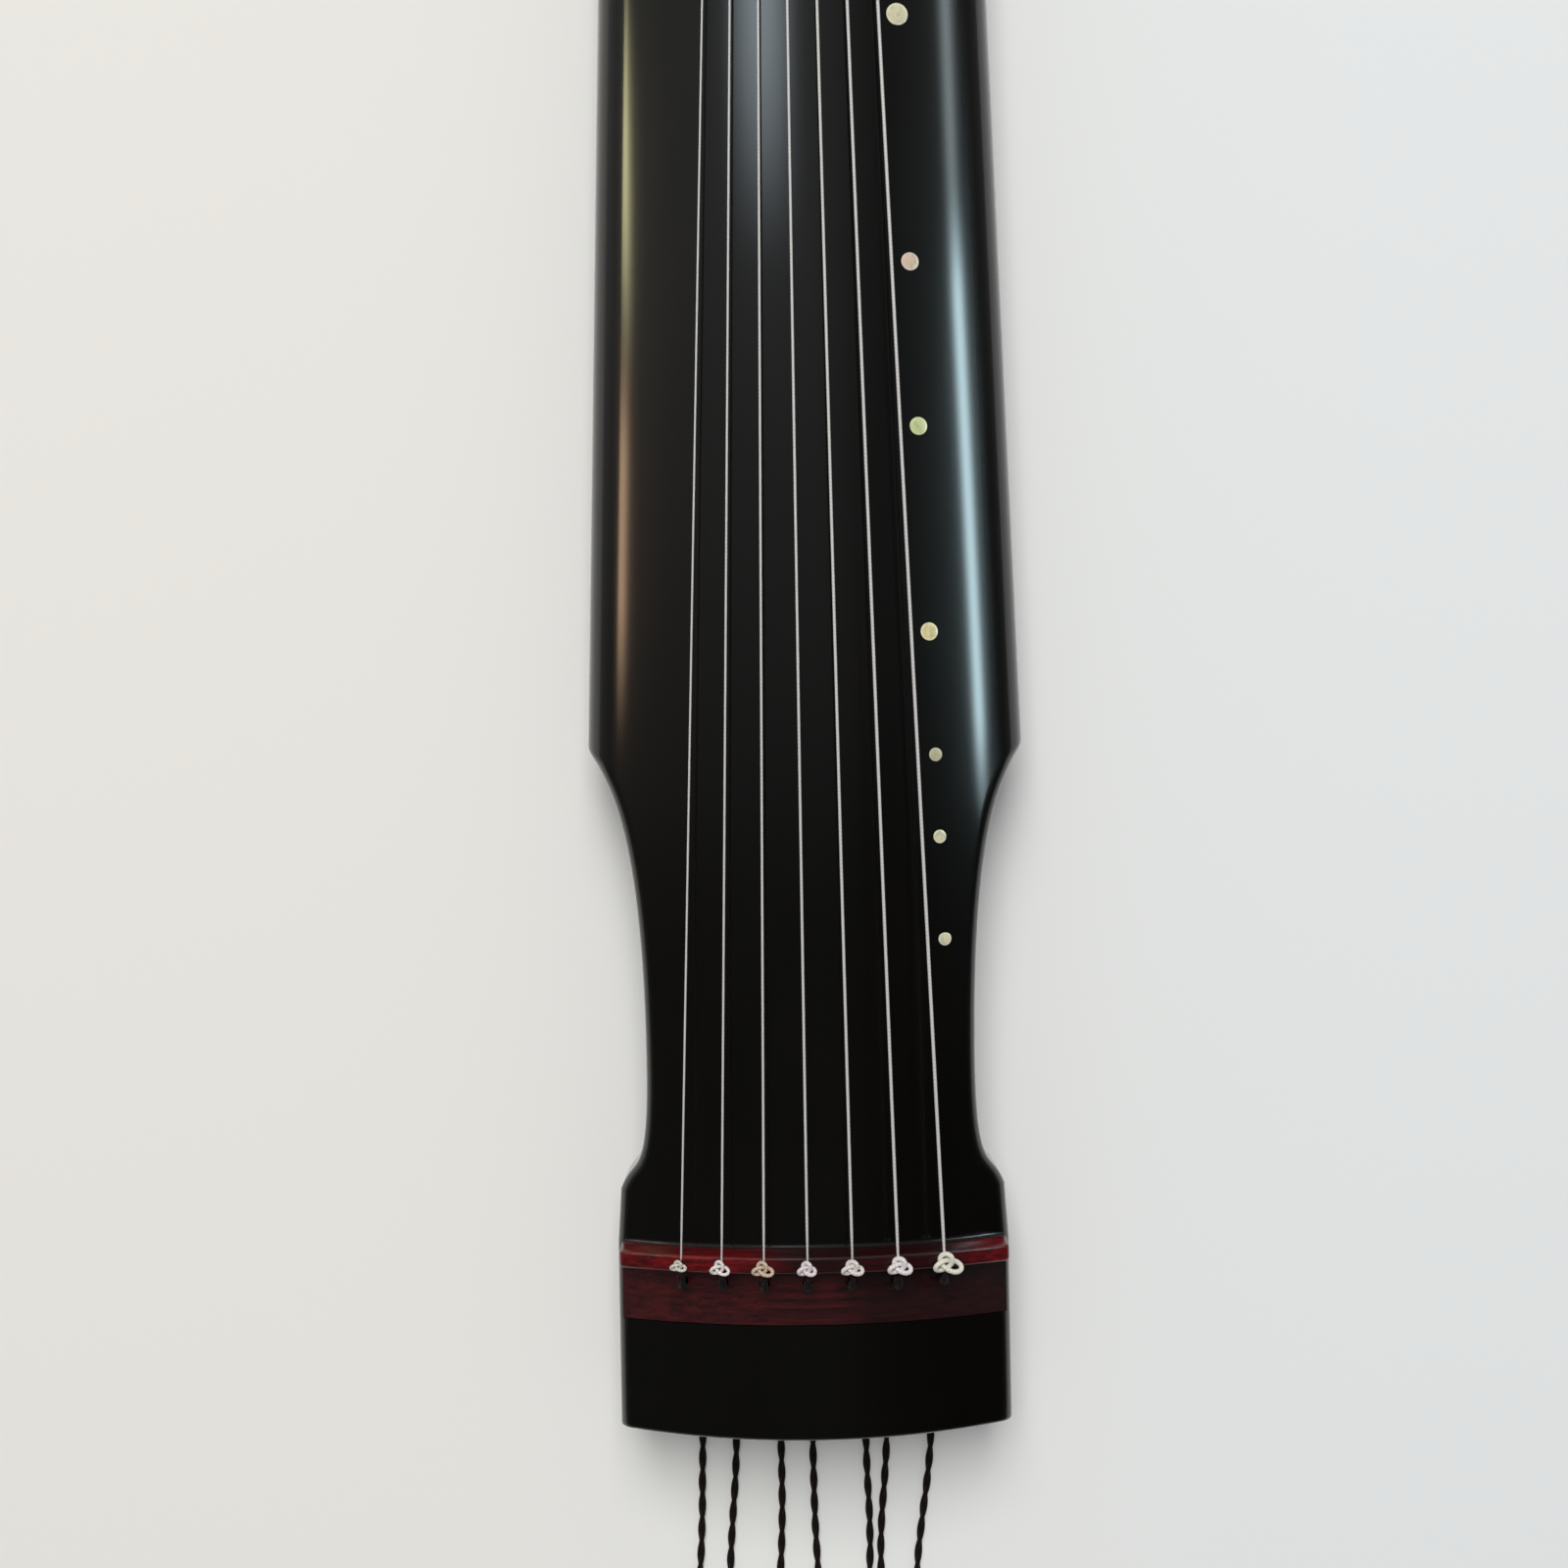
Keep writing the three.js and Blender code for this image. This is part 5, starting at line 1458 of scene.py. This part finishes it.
for cord_number in STRINGS:
    cord_tail(cord_number)
for string_number in STRINGS:
    upper_cord(string_number)
    string_piece(string_number)
    peg(string_number)
soundboard()
bottom_board()
bridge()
lacquer_cove()
strip()
tail_nut()
tail_nut_support()
for place_name, place_side in (("far", 1), ("near", -1)):
    guard(place_name, place_side)
    foot(place_name, place_side)
    tail_corner(place_name, place_side)
for stud_number in range(1, 14):
    stud(stud_number)
for post in ("round_sound_post", "square_sound_post"):
    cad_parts[post].data.materials.clear()
    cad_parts[post].data.materials.append(PINE)
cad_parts["peg_panel"].data.materials.clear()
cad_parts["peg_panel"].data.materials.append(FITTING_WOOD)


# Floor and light

def floor():
    bm = bmesh.new()
    bmesh.ops.create_circle(bm, cap_ends=True, segments=96, radius=FLOOR_RADIUS)
    piece = to_object("floor", bm)
    piece.data.materials.append(painted_floor())


def softened(tree, along, fullness):
    """A share of a lamp's light that fades to nothing at both of its ends, and is full between them"""
    wave = add(tree, "ShaderNodeMath", {0: along, 1: math.pi}, operation="MULTIPLY").outputs["Value"]
    wave = add(tree, "ShaderNodeMath", {0: wave}, operation="SINE").outputs["Value"]
    wave = add(tree, "ShaderNodeMath", {0: wave, 1: 2}, operation="POWER").outputs["Value"]
    return add(tree, "ShaderNodeMath", {0: wave, 1: fullness}, operation="MULTIPLY",
               use_clamp=True).outputs["Value"]


def softbox(name, tail_end, head_end, width, radiance, code, mirrored, fullness=1):
    """A lamp between two places that faces the body: its radiance is its own brightness, of which 1
    is white; a mirrored one is soft at its edges and is seen in gloss only, and the rest light only
    what is matt"""
    data = bpy.data.lights.new(name, "AREA")
    data.shape = "RECTANGLE"
    along = Vector(head_end) - Vector(tail_end)
    data.size, data.size_y = along.length, width
    tint = Vector(colour(code)[:3])
    data.color = tint / max(tint)
    data.energy = radiance * math.pi * along.length * width
    if mirrored:
        data.use_nodes = True
        tree = data.node_tree
        place = add(tree, "ShaderNodeNewGeometry").outputs["Parametric"]
        parts = add(tree, "ShaderNodeSeparateXYZ", {"Vector": place}).outputs
        share = add(tree, "ShaderNodeMath", {0: softened(tree, parts["X"], fullness),
                    1: softened(tree, parts["Y"], 1)}, operation="MULTIPLY").outputs["Value"]
        tree.links.new(share, tree.nodes["Emission"].inputs["Strength"])
    lamp = bpy.data.objects.new(name, data)
    middle = (Vector(tail_end) + Vector(head_end)) / 2
    along.normalize()
    behind = middle - LAMP_AIM
    behind = (behind - along * behind.dot(along)).normalized()
    turn = Matrix((along, behind.cross(along), behind)).transposed().to_4x4()
    lamp.matrix_world = Matrix.Translation(middle) @ turn
    lamp.visible_glossy = mirrored
    lamp.visible_transmission = mirrored
    lamp.visible_diffuse = not mirrored
    bpy.context.scene.collection.objects.link(lamp)


def surroundings():
    """A pale room for the camera, one for gloss and glass that is dim over the head and the far side,
    and an even one for the light on matt surfaces"""
    world = bpy.data.worlds.new("studio")
    world.use_nodes = True
    bpy.context.scene.world = world
    tree = world.node_tree
    place = add(tree, "ShaderNodeTexCoord").outputs["Generated"]
    parts = add(tree, "ShaderNodeSeparateXYZ", {"Vector": place}).outputs
    tail = add(tree, "ShaderNodeMapRange", {"Value": parts["X"], "From Min": -0.4, "From Max": 0.2,
               "To Min": GLOSS_AT_TAIL, "To Max": GLOSS_AT_HEAD},
               interpolation_type="SMOOTHSTEP").outputs["Result"]
    near = add(tree, "ShaderNodeMapRange", {"Value": parts["Y"], "From Min": 0.05, "From Max": 0.4,
               "To Min": 1, "To Max": GLOSS_FAR_SHARE}, interpolation_type="SMOOTHSTEP").outputs["Result"]
    haze = add(tree, "ShaderNodeMath", {0: tail, 1: near}, operation="MULTIPLY").outputs["Value"]
    low = add(tree, "ShaderNodeMapRange", {"Value": parts["Z"], "From Min": 0, "From Max": 0.6,
              "To Min": GLOSS_LOW, "To Max": 0}, interpolation_type="SMOOTHSTEP").outputs["Result"]
    gloss = add(tree, "ShaderNodeMath", {0: haze, 1: low}, operation="ADD").outputs["Value"]
    lit = add(tree, "ShaderNodeMix", {"Factor": not_matt(tree), "A": MATT_LIGHT, "B": gloss},
              data_type="FLOAT")
    straight = add(tree, "ShaderNodeLightPath").outputs["Is Camera Ray"]
    seen = add(tree, "ShaderNodeMix", {"Factor": straight, "A": lit.outputs["Result"], "B": ROOM_LIGHT},
               data_type="FLOAT")
    background = tree.nodes["Background"]
    background.inputs["Color"].default_value = colour(ROOM_COLOUR)
    tree.links.new(seen.outputs["Result"], background.inputs["Strength"])


floor()
surroundings()
softbox("tail_key", (-6.7, -0.45, 6.1), (-1.4, -0.45, 9.3), 4.2, 9.2, "#fffdfa", False)
softbox("cool_strip", (-0.52, 1.01, 1.2), (0.42, 1.266, 1.2), 0.125, 28.2, "#d7f7ff", True, 3)
softbox("cool_strip_end", (-1.05, 0.93, 1.2), (-0.36, 1.045, 1.2), 0.13, 7.2, "#e8faff", True, 2.5)
softbox("olive_strip", (-0.86, -1.095, 1.2), (-0.2, -1.145, 1.2), 0.12, 19, "#fff9c0", True)
softbox("orange_strip", (-0.36, -1.135, 1.2), (0.28, -1.3, 1.2), 0.12, 14, "#ffd4ab", True, 1.25)
softbox("tail_glow", (-0.88, -0.155, 1.2), (-0.24, -0.155, 1.2), 0.46, 6, "#e4f5ff", True)
